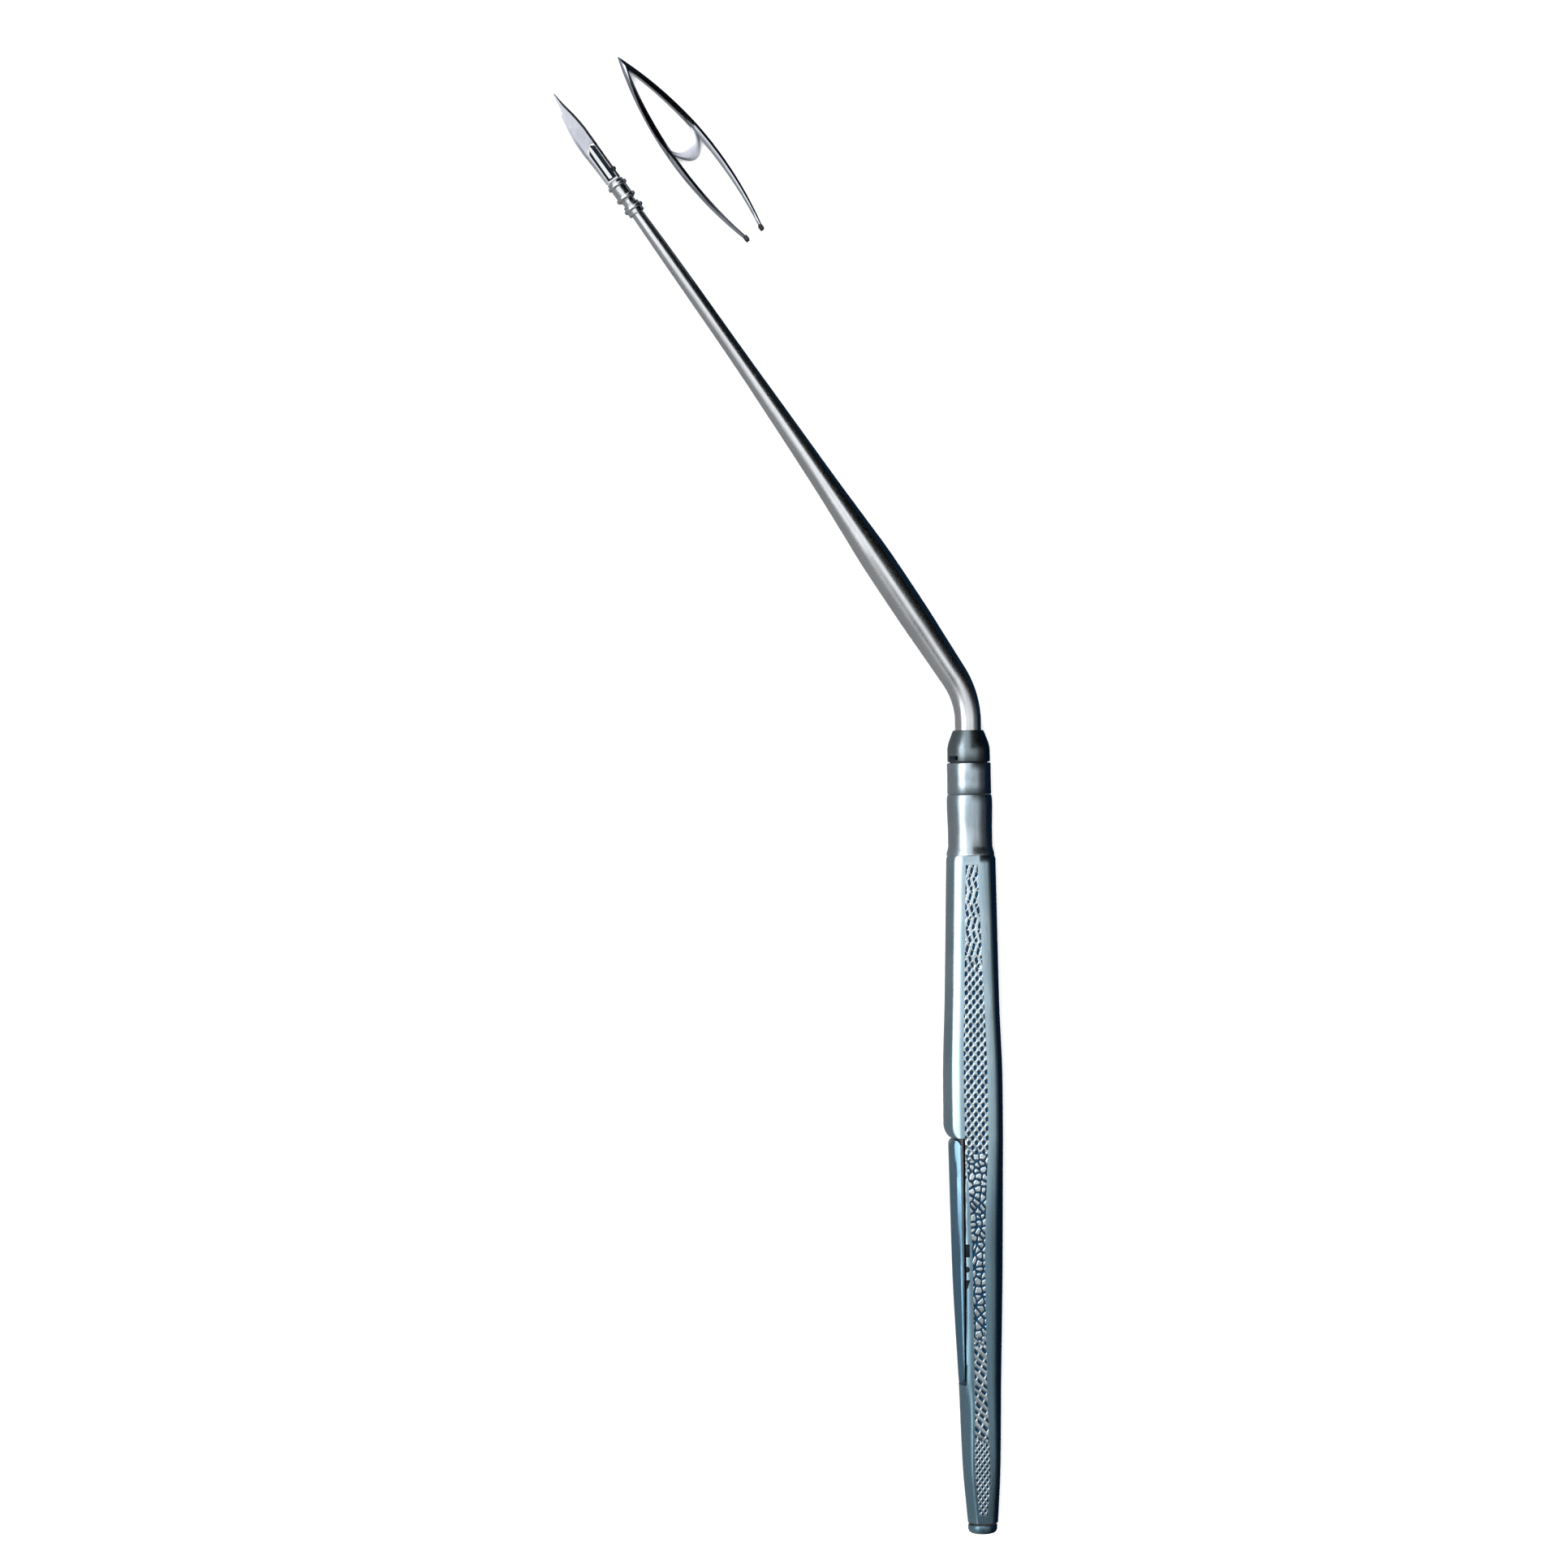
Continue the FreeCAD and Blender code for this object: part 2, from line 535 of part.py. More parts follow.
def make_neck_sleeve():
    body = new_body("neck_sleeve", on_axis)
    inner = "rod_radius + running_fit"
    turned(body, "sleeve", [
        (inner, "shell_end - socket_depth"), ("socket_radius", "shell_end - socket_depth"),
        ("socket_radius", "shell_end"), ("neck_shoulder", "shell_end"),
        ("neck_radius", "shell_end + 1.0"), ("neck_radius", "shell_end + 3.0"),
        ("neck_radius + 0.08", NECK_END + " - 1.5"), ("neck_radius", NECK_END),
        ("thread_radius", NECK_END), ("thread_radius", "thread_end"),
        ("collet_front + 2 * running_fit", "thread_end"),
        (WELL_RADIUS, "collet_cone"), (WELL_RADIUS, "well_start"), (inner, "well_start")])
    return body


def make_collar_ring():
    body = new_body("collar_ring", on_axis)
    bevel = "0.15"
    turned(body, "ring", [
        ("thread_radius", NECK_END), ("ring_radius - %s" % bevel, NECK_END),
        ("ring_radius", "%s + %s" % (NECK_END, bevel)),
        ("ring_radius", "%s - %s" % (RING_END, bevel)),
        ("ring_radius - %s" % bevel, RING_END), ("thread_radius", RING_END)])
    return body


def make_nose_cap():
    body = new_body("nose_cap", on_axis)
    front_wall = NOSE_END + " - nose_wall"
    seal_room = "%s + nose_seal_length + face_gap" % RING_END
    turned(body, "cap", [
        ("thread_radius + 0.25", NOSE_START), ("nose_radius - 0.1", NOSE_START),
        ("nose_radius", NOSE_START + " + 0.1"), ("nose_radius", NOSE_START + " + nose_straight"),
        ("nose_front", NOSE_END + " - 0.2"), ("nose_front - 0.2", NOSE_END), ("nose_mouth", NOSE_END),
        ("nose_mouth", front_wall), ("thread_radius + ring_gap", front_wall),
        ("thread_radius + ring_gap", seal_room), ("thread_radius + 0.25", seal_room)])
    notch = cut_down(body, "spanner_notch", [
        ("-nose_radius - 1", NOSE_START + " - 1"), ("-nose_radius + notch_width", NOSE_START + " - 1"),
        ("-nose_radius + notch_width", NOSE_START + " + notch_length"),
        ("-nose_radius - 1", NOSE_START + " + notch_length")],
        "nose_radius + 1", "nose_radius + 1 - notch_floor")
    pattern = body.newObject("PartDesign::PolarPattern", "spanner_notches")
    pattern.Originals = [notch]
    pattern.Axis = (origin_axis(body, "Y_Axis"), [""])
    pattern.Angle = 360.0
    pattern.Occurrences = 2
    body.Tip = pattern
    return body


def origin_axis(body, role):
    return next(item for item in body.Origin.OriginFeatures if item.Role == role)


def make_nose_seal():
    body = new_body("nose_seal", on_axis)
    turned(body, "seal_ring", [
        ("thread_radius", RING_END), ("thread_radius + 0.2", RING_END),
        ("thread_radius + 0.2", RING_END + " + nose_seal_length"),
        ("thread_radius", RING_END + " + nose_seal_length")])
    return body


def make_collet():
    body = new_body("collet", on_axis)
    rod_hole = "rod_radius + running_fit"
    tang_hole = "tang_radius + running_fit"
    turned(body, "collet_blank", [
        (rod_hole, "collet_start"), ("collet_radius", "collet_start"),
        ("collet_radius", "collet_cone"), ("collet_front", "collet_end"),
        (tang_hole, "collet_end"), (tang_hole, "tang_start - 0.2"),
        (rod_hole, "tang_start - 0.2")])
    slit = cut_down(body, "slit", [
        ("rod_radius + running_fit + 0.1", "slit_start"), ("collet_front + 1", "slit_start"),
        ("collet_front + 1", "collet_end + 1"), ("rod_radius + running_fit + 0.1", "collet_end + 1")],
        "collet_slit / 2", "collet_slit")
    pattern = body.newObject("PartDesign::PolarPattern", "slits")
    pattern.Originals = [slit]
    pattern.Axis = (origin_axis(body, "Y_Axis"), [""])
    pattern.Angle = 360.0
    pattern.Occurrences = 3
    body.Tip = pattern
    return body


# ------------------------------------------------------------------ shank
BEND_STEPS = 4
BOW_ARC = "(shank_reach / (2 * sin(bow_angle / 2 * 1 deg)))"


def bow_place(reach):
    """Where the slightly bowed shank is at a reach past the bend: across, up, turn."""
    turn = "(bend_angle + bow_angle * (%s) / shank_reach)" % reach
    across = "%s - %s * (cos(bend_angle * 1 deg) - cos(%s * 1 deg))" % (BEND_X, BOW_ARC, turn)
    up = "%s + %s * (sin(%s * 1 deg) - sin(bend_angle * 1 deg))" % (BEND_Y, BOW_ARC, turn)
    return across, up, turn


def make_shank():
    body = new_body("shank", on_axis)
    turned(body, "tang", [
        ("0", "tang_start"), ("tang_radius", "tang_start"), ("tang_radius", "shank_shoulder"),
        ("shank_radius", "shank_shoulder + 0.3"), ("shank_radius", "bend_station"),
        ("0", "bend_station")])
    sections = []
    for step in range(BEND_STEPS + 1):
        share = step / BEND_STEPS
        turn = "(bend_angle * %s)" % share
        across = "-bend_radius * (1 - cos(%s * 1 deg))" % turn
        up = "bend_station + bend_radius * sin(%s * 1 deg)" % turn
        radius = "shank_radius + (bend_end_radius - shank_radius) * %s" % (share ** 2)
        sections.append(round_section(body, "bend_%d" % step, radius, across, up, turn))
    stations = [
        ("belly_reach * 0.45", "bend_end_radius + (belly_radius - bend_end_radius) * 0.62"),
        ("belly_reach", "belly_radius"),
        ("belly_reach + (waist_reach - belly_reach) * 0.25",
         "belly_radius + (waist_radius - belly_radius) * 0.16"),
        ("belly_reach + (waist_reach - belly_reach) * 0.62",
         "belly_radius + (waist_radius - belly_radius) * 0.64"),
        ("waist_reach", "waist_radius"),
        ("(waist_reach + slim_reach) / 2", "(waist_radius + slim_radius) / 2 - 0.03"),
        ("slim_reach", "slim_radius"),
        ("(slim_reach + shank_reach) / 2", "(slim_radius + end_radius) / 2 + 0.04"),
        ("shank_reach", "end_radius"),
    ]
    for number, (reach, radius) in enumerate(stations):
        across, up, turn = bow_place(reach)
        sections.append(round_section(body, "bow_%d" % number, radius, across, up, turn))
    loft = body.newObject("PartDesign::AdditiveLoft", "bent_taper")
    loft.Profile = sections[0]
    loft.Sections = sections[1:]
    loft.Ruled = False
    return body


# ------------------------------------------------------------------ tip holder, ferrule, lock ring
TONGUE_TOP = "(-tongue_half + tongue_thickness)"


def make_tip_holder():
    body = new_body("tip_holder", on_tip)
    turned(body, "barrel", [
        ("0", "0"), ("barrel_radius", "0"), ("barrel_radius", "barrel_length"),
        ("0", "barrel_length")])
    cut_down(body, "heel_flat", [
        ("-2", "blade_heel - 0.05"), ("2", "blade_heel - 0.05"), ("2", "barrel_length + 1"),
        ("-2", "barrel_length + 1")], "2", "2 - %s" % TONGUE_TOP)
    left = "-tongue_width / 2"
    right = "tongue_width / 2"
    plate(body, "tongue", [
        (left, "blade_heel - 0.6"), (right, "blade_heel - 0.6"), (right, "tooth_station"),
        ("tooth_reach", "tooth_station"), ("tooth_reach", "tooth_station + tooth_width"),
        (right, "tooth_station + tooth_width"), (right, "tongue_length - 0.3"),
        ("0", "tongue_length"), (left, "tongue_length - 0.9")],
        "-tongue_half", "tongue_thickness")
    rail_left = "-blade_slot_left + rail_gap"
    rail_right = "blade_slot_right - rail_gap"
    rail_front = "slot_front - rail_gap"
    plate(body, "rail", [
        (rail_left, "rail_start"), (rail_right, "rail_start"), (rail_right, rail_front + " - 0.2"),
        ("0.1", rail_front), (rail_left, rail_front + " - 0.7")],
        TONGUE_TOP + " - 0.1", "blade_thickness + blade_gap + rail_proud + 0.1")
    return body


def make_ferrule():
    body = new_body("ferrule", on_tip)
    inner = "barrel_radius + running_fit"
    outer = "barrel_radius + running_fit + ferrule_wall"
    rib_back = "0.1 - rib_width / 2"
    rib_front = "0.1 + rib_width / 2"
    turned(body, "ferrule_ring", [
        (inner, "-ferrule_start"), (outer, "-ferrule_start"), (outer, rib_back),
        (outer + " + rib_height", rib_back + " + 0.12"),
        (outer + " + rib_height", rib_front + " - 0.12"), (outer, rib_front),
        (outer, "ferrule_end"), (inner, "ferrule_end")])
    return body


def make_lock_ring():
    body = new_body("lock_ring", on_tip)
    inner = "barrel_radius + running_fit"
    outer = "barrel_radius + running_fit + ferrule_wall"
    high = outer + " + rib_height"
    points = [(inner, "lock_start"), (outer, "lock_start")]
    for middle in ("lock_rib_back", "lock_rib_front"):
        points += [
            (outer, middle + " - rib_width / 2"), (high, middle + " - rib_width / 2 + 0.12"),
            (high, middle + " + rib_width / 2 - 0.12"), (outer, middle + " + rib_width / 2")]
    points += [(outer, "lock_end"), (inner, "lock_end")]
    turned(body, "ring_with_ribs", points)
    return body


# ------------------------------------------------------------------ blade
def make_blade():
    body = new_body("blade", on_tip)
    plate(body, "blade_sheet", [
        ("0.25", "blade_length"), ("blade_half * 0.42", "spear_reach + 1.5"),
        ("blade_half * 0.66", "spear_reach"), ("blade_half * 0.87", "shoulder_reach"),
        ("blade_half * 0.87", "blade_heel"),
        ("-blade_half", "blade_heel"), ("-blade_half * 1.14", "shoulder_reach - 0.6"),
        ("-blade_half * 0.92", "spear_reach - 1.1"), ("-blade_half * 0.55", "spear_reach + 1.4"),
        ("-0.05", "blade_length - 0.5")],
        TONGUE_TOP + " + blade_gap", "blade_thickness")
    cut_down(body, "keyhole_slot", [
        ("-blade_slot_left", "slot_rear"), ("blade_slot_right", "slot_rear"),
        ("blade_slot_right", "slot_front"), ("0", "slot_front"),
        ("-blade_slot_left", "slot_front - 0.6")],
        "1", "2")
    return body


# ------------------------------------------------------------------ hoop guard
def arc_disc(name, side, radius, half, belly, height, bottom="0"):
    """A big upright cylinder whose rim is one side of a leaf."""
    disc = doc.addObject("Part::Cylinder", name)
    bind(disc, Radius=radius, Height=height,
         Placement__Base__x="%d * (%s - %s)" % (-side, radius, half),
         Placement__Base__y=belly, Placement__Base__z=bottom)
    return disc


def leaf(name, radius, half, belly, height, bottom="0"):
    """The leaf between two such cylinders."""
    common = doc.addObject("Part::Common", name)
    common.Base = arc_disc(name + "_right", 1, radius, half, belly, height, bottom)
    common.Tool = arc_disc(name + "_left", -1, radius, half, belly, height, bottom)
    return common


def block(name, low, size):
    box = doc.addObject("Part::Box", name)
    bind(box, Placement__Base__x=low[0], Placement__Base__y=low[1], Placement__Base__z=low[2],
         Length=size[0], Width=size[1], Height=size[2])
    return box


def joined(kind, name, base, tool):
    result = doc.addObject(kind, name)
    result.Base = base
    result.Tool = tool
    return result


def web_disc(name, radius, station, bottom, height):
    disc = doc.addObject("Part::Cylinder", name)
    bind(disc, Radius=radius, Height=height, Placement__Base__y=station, Placement__Base__z=bottom)
    return disc


def make_tip_guard():
    outer = leaf("guard_outer", "guard_arc", "guard_half", "guard_belly", "guard_height")
    inner = leaf("guard_window", "guard_inner_arc", "guard_inner_half", "guard_inner_belly",
                 "guard_height + 2", "-1")
    hoop = joined("Part::Cut", "guard_hoop", outer, inner)
    behind = block("behind_mouth", ("-30", "-60", "-5"), ("60", "60", "guard_height + 10"))
    open_hoop = joined("Part::Cut", "guard_open_hoop", hoop, behind)
    crescent = joined(
        "Part::Cut", "guard_crescent",
        web_disc("web_rim", "web_radius", "web_station", "web_bottom", "web_thickness"),
        web_disc("web_bite_disc", "web_inner", "web_station + web_bite", "web_bottom - 1",
                 "web_thickness + 2"))
    web_leaf = leaf("web_leaf", "guard_arc", "guard_half - 0.2", "guard_belly", "guard_height")
    web = joined("Part::Common", "guard_web", crescent, web_leaf)
    guard = joined("Part::Fuse", "tip_guard", open_hoop, web)
    guard.Label = "tip_guard"
    on_guard(guard)
    return guard


MOUTH_OUTER = "(sqrt(guard_arc ^ 2 - guard_belly ^ 2) - guard_arc + guard_half)"


def make_guard_pads():
    pads = []
    for side, name in ((1, "right_pad"), (-1, "left_pad")):
        low = MOUTH_OUTER + " - pad_width" if side == 1 else "-" + MOUTH_OUTER
        pads.append(block(name, (low, "-pad_length", "0"),
                          ("pad_width", "pad_length", "guard_height")))
    group = doc.addObject("Part::Compound", "guard_pads")
    group.Label = "guard_pads"
    group.Links = pads
    on_guard(group)
    return group


SUB_PARTS = [
    make_handle_shell(), make_grip_strip("front_grip", 1), make_grip_strip("back_grip", -1),
    make_butt_plug(), make_butt_seal(), make_side_lever(), make_lever_pin(), make_draw_rod(),
    make_spring_seat(), make_return_spring(), make_guide_bush(), make_neck_sleeve(),
    make_collar_ring(), make_nose_seal(), make_nose_cap(), make_collet(), make_shank(),
    make_tip_holder(), make_ferrule(), make_lock_ring(), make_blade(), make_tip_guard(),
    make_guard_pads(),
]
doc.recompute()

# ------------------------------------------------------------------ checks and files
for item in doc.Objects:
    if "Invalid" in item.State or "Error" in item.State:
        raise RuntimeError("%s failed: %s" % (item.Label, item.State))
os.makedirs("parts", exist_ok=True)
for part in SUB_PARTS:
    if part.Shape.isNull() or not part.Shape.isValid():
        raise RuntimeError("%s has no valid shape" % part.Label)
for part in SUB_PARTS:
    part.Shape.exportStep("parts/%s.step" % part.Label)
    box = part.Shape.BoundBox
    print("%-14s %2d solid  %9.2f mm3  x %7.2f %7.2f  y %7.2f %7.2f  z %6.2f %6.2f" % (
        part.Label, len(part.Shape.Solids), part.Shape.Volume,
        box.XMin, box.XMax, box.YMin, box.YMax, box.ZMin, box.ZMax))
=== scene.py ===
# Looks of the angled dental explorer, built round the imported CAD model.
#
# Helpers take millimetres: x across the handle, a station along its axis from the butt, z from the
# axis.  They return metres in the row frame.
import json
import math
import random

import bmesh
import bpy
import numpy as np
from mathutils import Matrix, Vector


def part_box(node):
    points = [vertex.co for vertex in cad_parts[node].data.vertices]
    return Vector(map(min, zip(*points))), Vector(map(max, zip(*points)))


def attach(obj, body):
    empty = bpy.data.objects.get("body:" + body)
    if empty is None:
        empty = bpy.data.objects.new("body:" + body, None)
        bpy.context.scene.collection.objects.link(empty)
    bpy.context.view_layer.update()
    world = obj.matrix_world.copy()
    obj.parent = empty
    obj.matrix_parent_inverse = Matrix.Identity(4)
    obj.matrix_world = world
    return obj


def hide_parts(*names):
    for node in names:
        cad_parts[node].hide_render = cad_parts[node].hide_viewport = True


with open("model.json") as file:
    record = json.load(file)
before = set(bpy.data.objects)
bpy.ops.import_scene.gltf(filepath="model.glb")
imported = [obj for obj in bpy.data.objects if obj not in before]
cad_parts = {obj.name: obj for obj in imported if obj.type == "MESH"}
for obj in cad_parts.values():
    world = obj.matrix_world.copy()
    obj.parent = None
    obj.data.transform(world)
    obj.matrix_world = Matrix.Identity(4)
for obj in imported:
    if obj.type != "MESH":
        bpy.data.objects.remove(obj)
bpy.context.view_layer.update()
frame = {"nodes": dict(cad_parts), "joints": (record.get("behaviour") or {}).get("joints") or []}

MM = 0.001
BUTT_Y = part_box("butt_plug")[0].y
RING_LOW, RING_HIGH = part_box("collar_ring")
AXIS_Z = (RING_LOW.z + RING_HIGH.z) / 2
RING_START = (RING_LOW.y - BUTT_Y) / MM
RING_END = (RING_HIGH.y - BUTT_Y) / MM
NOSE_START = (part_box("nose_cap")[0].y - BUTT_Y) / MM
NOSE_END = (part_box("nose_cap")[1].y - BUTT_Y) / MM
SHELL_END = (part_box("handle_shell")[1].y - BUTT_Y) / MM
LEVER_START = (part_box("side_lever")[0].y - BUTT_Y) / MM
LEVER_END = (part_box("side_lever")[1].y - BUTT_Y) / MM
JOINTS = {joint["name"]: joint for joint in frame["joints"]}
PIVOT = (JOINTS["lever_press"]["pos_m"][1] - BUTT_Y) / MM

# the shank's path
BEND_STATION = 100.0
BEND_RADIUS = 10.5
BEND_ANGLE = math.radians(32.2)
BOW_ANGLE = math.radians(2.3)
SHANK_REACH = 69.8
BOW_RADIUS = SHANK_REACH / (2 * math.sin(BOW_ANGLE / 2))
TIP_TURN = BEND_ANGLE + BOW_ANGLE

# the guard's place, turn and height
GUARD_X = -25.5
GUARD_STATION = 161.25
GUARD_TURN = math.radians(36.7)
GUARD_HEIGHT = 1.8

LATHE_STEPS = 96


# ------------------------------------------------------------------ places
def at(x, station, z):
    """A place given from the handle's axis."""
    return Vector((x * MM, BUTT_Y + station * MM, AXIS_Z + z * MM))


def path_place(reach):
    """Centre and turn of the shank; reach is measured from the end of the bend."""
    bend_x = -BEND_RADIUS * (1 - math.cos(BEND_ANGLE))
    bend_y = BEND_STATION + BEND_RADIUS * math.sin(BEND_ANGLE)
    turn = BEND_ANGLE + BOW_ANGLE * reach / SHANK_REACH
    x = bend_x - BOW_RADIUS * (math.cos(BEND_ANGLE) - math.cos(turn))
    y = bend_y + BOW_RADIUS * (math.sin(turn) - math.sin(BEND_ANGLE))
    return x, y, turn


TIP_X, TIP_STATION, _ = path_place(SHANK_REACH)


def turned_place(x0, y0, turn, x, y):
    """A point of a turned local frame, in the frame around it."""
    return (x0 + x * math.cos(turn) - y * math.sin(turn),
            y0 + x * math.sin(turn) + y * math.cos(turn))


def at_tip(x, y, z):
    """A place given from the end of the shank."""
    across, along = turned_place(TIP_X, TIP_STATION, TIP_TURN, x, y)
    return at(across, along, z)


def at_guard(x, y, z):
    """A place given from the guard's mouth; z is above the floor."""
    across, along = turned_place(GUARD_X, GUARD_STATION, GUARD_TURN, x, y)
    return at(across, along, z - AXIS_Z / MM)


def smoothstep(low, high, value):
    share = np.clip((value - low) / (high - low), 0.0, 1.0)
    return share * share * (3 - 2 * share)


def through(points, where):
    """Smooth curve without overshoot through (place, value) pairs."""
    xs = [p[0] for p in points]
    ys = [p[1] for p in points]
    if where <= xs[0]:
        return ys[0]
    if where >= xs[-1]:
        return ys[-1]
    slopes = [(ys[i + 1] - ys[i]) / (xs[i + 1] - xs[i]) for i in range(len(xs) - 1)]
    tangents = [slopes[0]]
    for before, after in zip(slopes, slopes[1:]):
        same = before * after > 0
        tangents.append(2 * before * after / (before + after) if same else 0.0)
    tangents.append(slopes[-1])
    i = max(k for k in range(len(xs) - 1) if xs[k] <= where)
    width = xs[i + 1] - xs[i]
    t = (where - xs[i]) / width
    return ((2 * t**3 - 3 * t**2 + 1) * ys[i] + (t**3 - 2 * t**2 + t) * width * tangents[i]
            + (3 * t**2 - 2 * t**3) * ys[i + 1] + (t**3 - t**2) * width * tangents[i + 1])


# ------------------------------------------------------------------ mesh helpers
def piece(name, verts, faces, body, slot, material, replaces=(), sharp=35.0, bevel=0.0):
    """A closed mesh piece of the object that rides on a body."""
    mesh = bpy.data.meshes.new(name)
    mesh.from_pydata([tuple(v) for v in verts], [], faces)
    work = bmesh.new()
    work.from_mesh(mesh)
    bmesh.ops.remove_doubles(work, verts=work.verts, dist=1e-7)
    bmesh.ops.dissolve_degenerate(work, edges=work.edges, dist=1e-8)
    bmesh.ops.recalc_face_normals(work, faces=work.faces)
    work.to_mesh(mesh)
    work.free()
    mesh.polygons.foreach_set("use_smooth", [True] * len(mesh.polygons))
    mesh.set_sharp_from_angle(angle=math.radians(sharp))
    obj = bpy.data.objects.new(name, mesh)
    bpy.context.scene.collection.objects.link(obj)
    mesh.materials.append(material)
    if bevel:
        soften = obj.modifiers.new("softened edges", "BEVEL")
        soften.width = bevel * MM
        soften.segments = 3
        soften.limit_method = "ANGLE"
        soften.angle_limit = math.radians(32)
        soften.harden_normals = False
    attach(obj, body)
    if replaces:
        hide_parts(*replaces)
    return obj


def skin(rings):
    """Closed skin through rings of equal length, with a cap at each end."""
    count = len(rings[0])
    verts = [point for ring in rings for point in ring]
    faces = []
    for i in range(len(rings) - 1):
        for j in range(count):
            a = i * count + j
            b = i * count + (j + 1) % count
            faces.append((a, b, b + count, a + count))
    faces.append(tuple(reversed(range(count))))
    faces.append(tuple(range((len(rings) - 1) * count, len(rings) * count)))
    return verts, faces


def lathe(profile, place):
    """A closed profile of (radius, along) spun round the axis of place(x, y, z)."""
    verts = []
    faces = []
    count = len(profile)
    for step in range(LATHE_STEPS):
        angle = 2 * math.pi * step / LATHE_STEPS
        for radius, along in profile:
            verts.append(place(radius * math.cos(angle), along, radius * math.sin(angle)))
    for step in range(LATHE_STEPS):
        following = (step + 1) % LATHE_STEPS
        for j in range(count):
            nxt = (j + 1) % count
            if profile[j][0] == 0 and profile[nxt][0] == 0:
                continue
            faces.append((step * count + j, step * count + nxt,
                          following * count + nxt, following * count + j))
    return verts, faces


def cut(obj, verts, faces, dark):
    """Take a closed shape out of a piece; the new walls get the dark material, which paints shade
    into them.
    """
    mesh = bpy.data.meshes.new("cutter")
    mesh.from_pydata([tuple(v) for v in verts], [], faces)
    work = bmesh.new()
    work.from_mesh(mesh)
    bmesh.ops.recalc_face_normals(work, faces=work.faces)
    work.to_mesh(mesh)
    work.free()
    mesh.materials.append(dark)
    cutter = bpy.data.objects.new("cutter", mesh)
    bpy.context.scene.collection.objects.link(cutter)
    step = obj.modifiers.new("cut", "BOOLEAN")
    step.operation = "DIFFERENCE"
    step.solver = "EXACT"
    step.material_mode = "TRANSFER"
    step.object = cutter
    bpy.context.view_layer.update()
    result = bpy.data.meshes.new_from_object(
        obj.evaluated_get(bpy.context.evaluated_depsgraph_get()))
    obj.modifiers.clear()
    obj.data = result
    bpy.data.objects.remove(cutter)


def block(x_low, x_high, y_low, y_high, z_low, z_high, place):
    """Vertices and faces of an upright block."""
    rings = [[place(x, y, z) for x, z in
              ((x_low, z_low), (x_high, z_low), (x_high, z_high), (x_low, z_high))]
             for y in (y_low, y_high)]
    return skin(rings)


# ------------------------------------------------------------------ materials
class Nodes:
    """Short calls for building a material's node tree."""

    def __init__(self, tree):
        self.tree = tree
        tree.nodes.clear()

    def add(self, kind, **settings):
        node = self.tree.nodes.new(kind)
        for key, value in settings.items():
            setattr(node, key, value)
        return node

    def link(self, source, target):
        self.tree.links.new(source, target)

    def noise(self, vector, scale, detail=4.0, roughness=0.55):
        node = self.add("ShaderNodeTexNoise")
        node.inputs["Scale"].default_value = scale
        node.inputs["Detail"].default_value = detail
        node.inputs["Roughness"].default_value = roughness
        self.link(vector, node.inputs["Vector"])
        return node.outputs["Fac"]

    def stretched(self, scale, turn=0.0):
        """Object coordinates in millimetres, stretched and turned."""
        coordinates = self.add("ShaderNodeTexCoord")
        mapping = self.add("ShaderNodeMapping")
        mapping.inputs["Scale"].default_value = [1000 * s for s in scale]
        mapping.inputs["Rotation"].default_value = (0, 0, turn)
        self.link(coordinates.outputs["Object"], mapping.inputs["Vector"])
        return mapping.outputs["Vector"]

    def along(self):
        """Distance along the handle, in millimetres of the row frame."""
        split = self.add("ShaderNodeSeparateXYZ")
        self.link(self.stretched((1, 1, 1)), split.inputs["Vector"])
        return split.outputs["Y"]

    def ranged(self, source, low, high, to_low, to_high):
        node = self.add("ShaderNodeMapRange")
        node.interpolation_type = "SMOOTHSTEP"
        for name, value in (("From Min", low), ("From Max", high),
                            ("To Min", to_low), ("To Max", to_high)):
            node.inputs[name].default_value = value
        self.link(source, node.inputs["Value"])
        return node.outputs["Result"]

    def mixed(self, factor, first, second):
        node = self.add("ShaderNodeMix", data_type="RGBA")
        self.link(factor, node.inputs["Factor"])
        for socket, value in ((node.inputs[6], first), (node.inputs[7], second)):
            if isinstance(value, tuple):
                socket.default_value = (*value, 1.0)
            else:
                self.link(value, socket)
        return node.outputs[2]

    def maths(self, operation, first, second):
        node = self.add("ShaderNodeMath", operation=operation)
        for socket, value in ((node.inputs[0], first), (node.inputs[1], second)):
            if isinstance(value, (int, float)):
                socket.default_value = value
            else:
                self.link(value, socket)
        return node.outputs[0]

    def bump(self, height, strength, distance):
        node = self.add("ShaderNodeBump")
        node.inputs["Strength"].default_value = strength
        node.inputs["Distance"].default_value = distance * MM
        self.link(height, node.inputs["Height"])
        return node.outputs["Normal"]


def new_material(name):
    material = bpy.data.materials.new(name)
    material.use_nodes = True
    nodes = Nodes(material.node_tree)
    shader = nodes.add("ShaderNodeBsdfPrincipled")
    output = nodes.add("ShaderNodeOutputMaterial")
    nodes.link(shader.outputs["BSDF"], output.inputs["Surface"])
    return material, nodes, shader


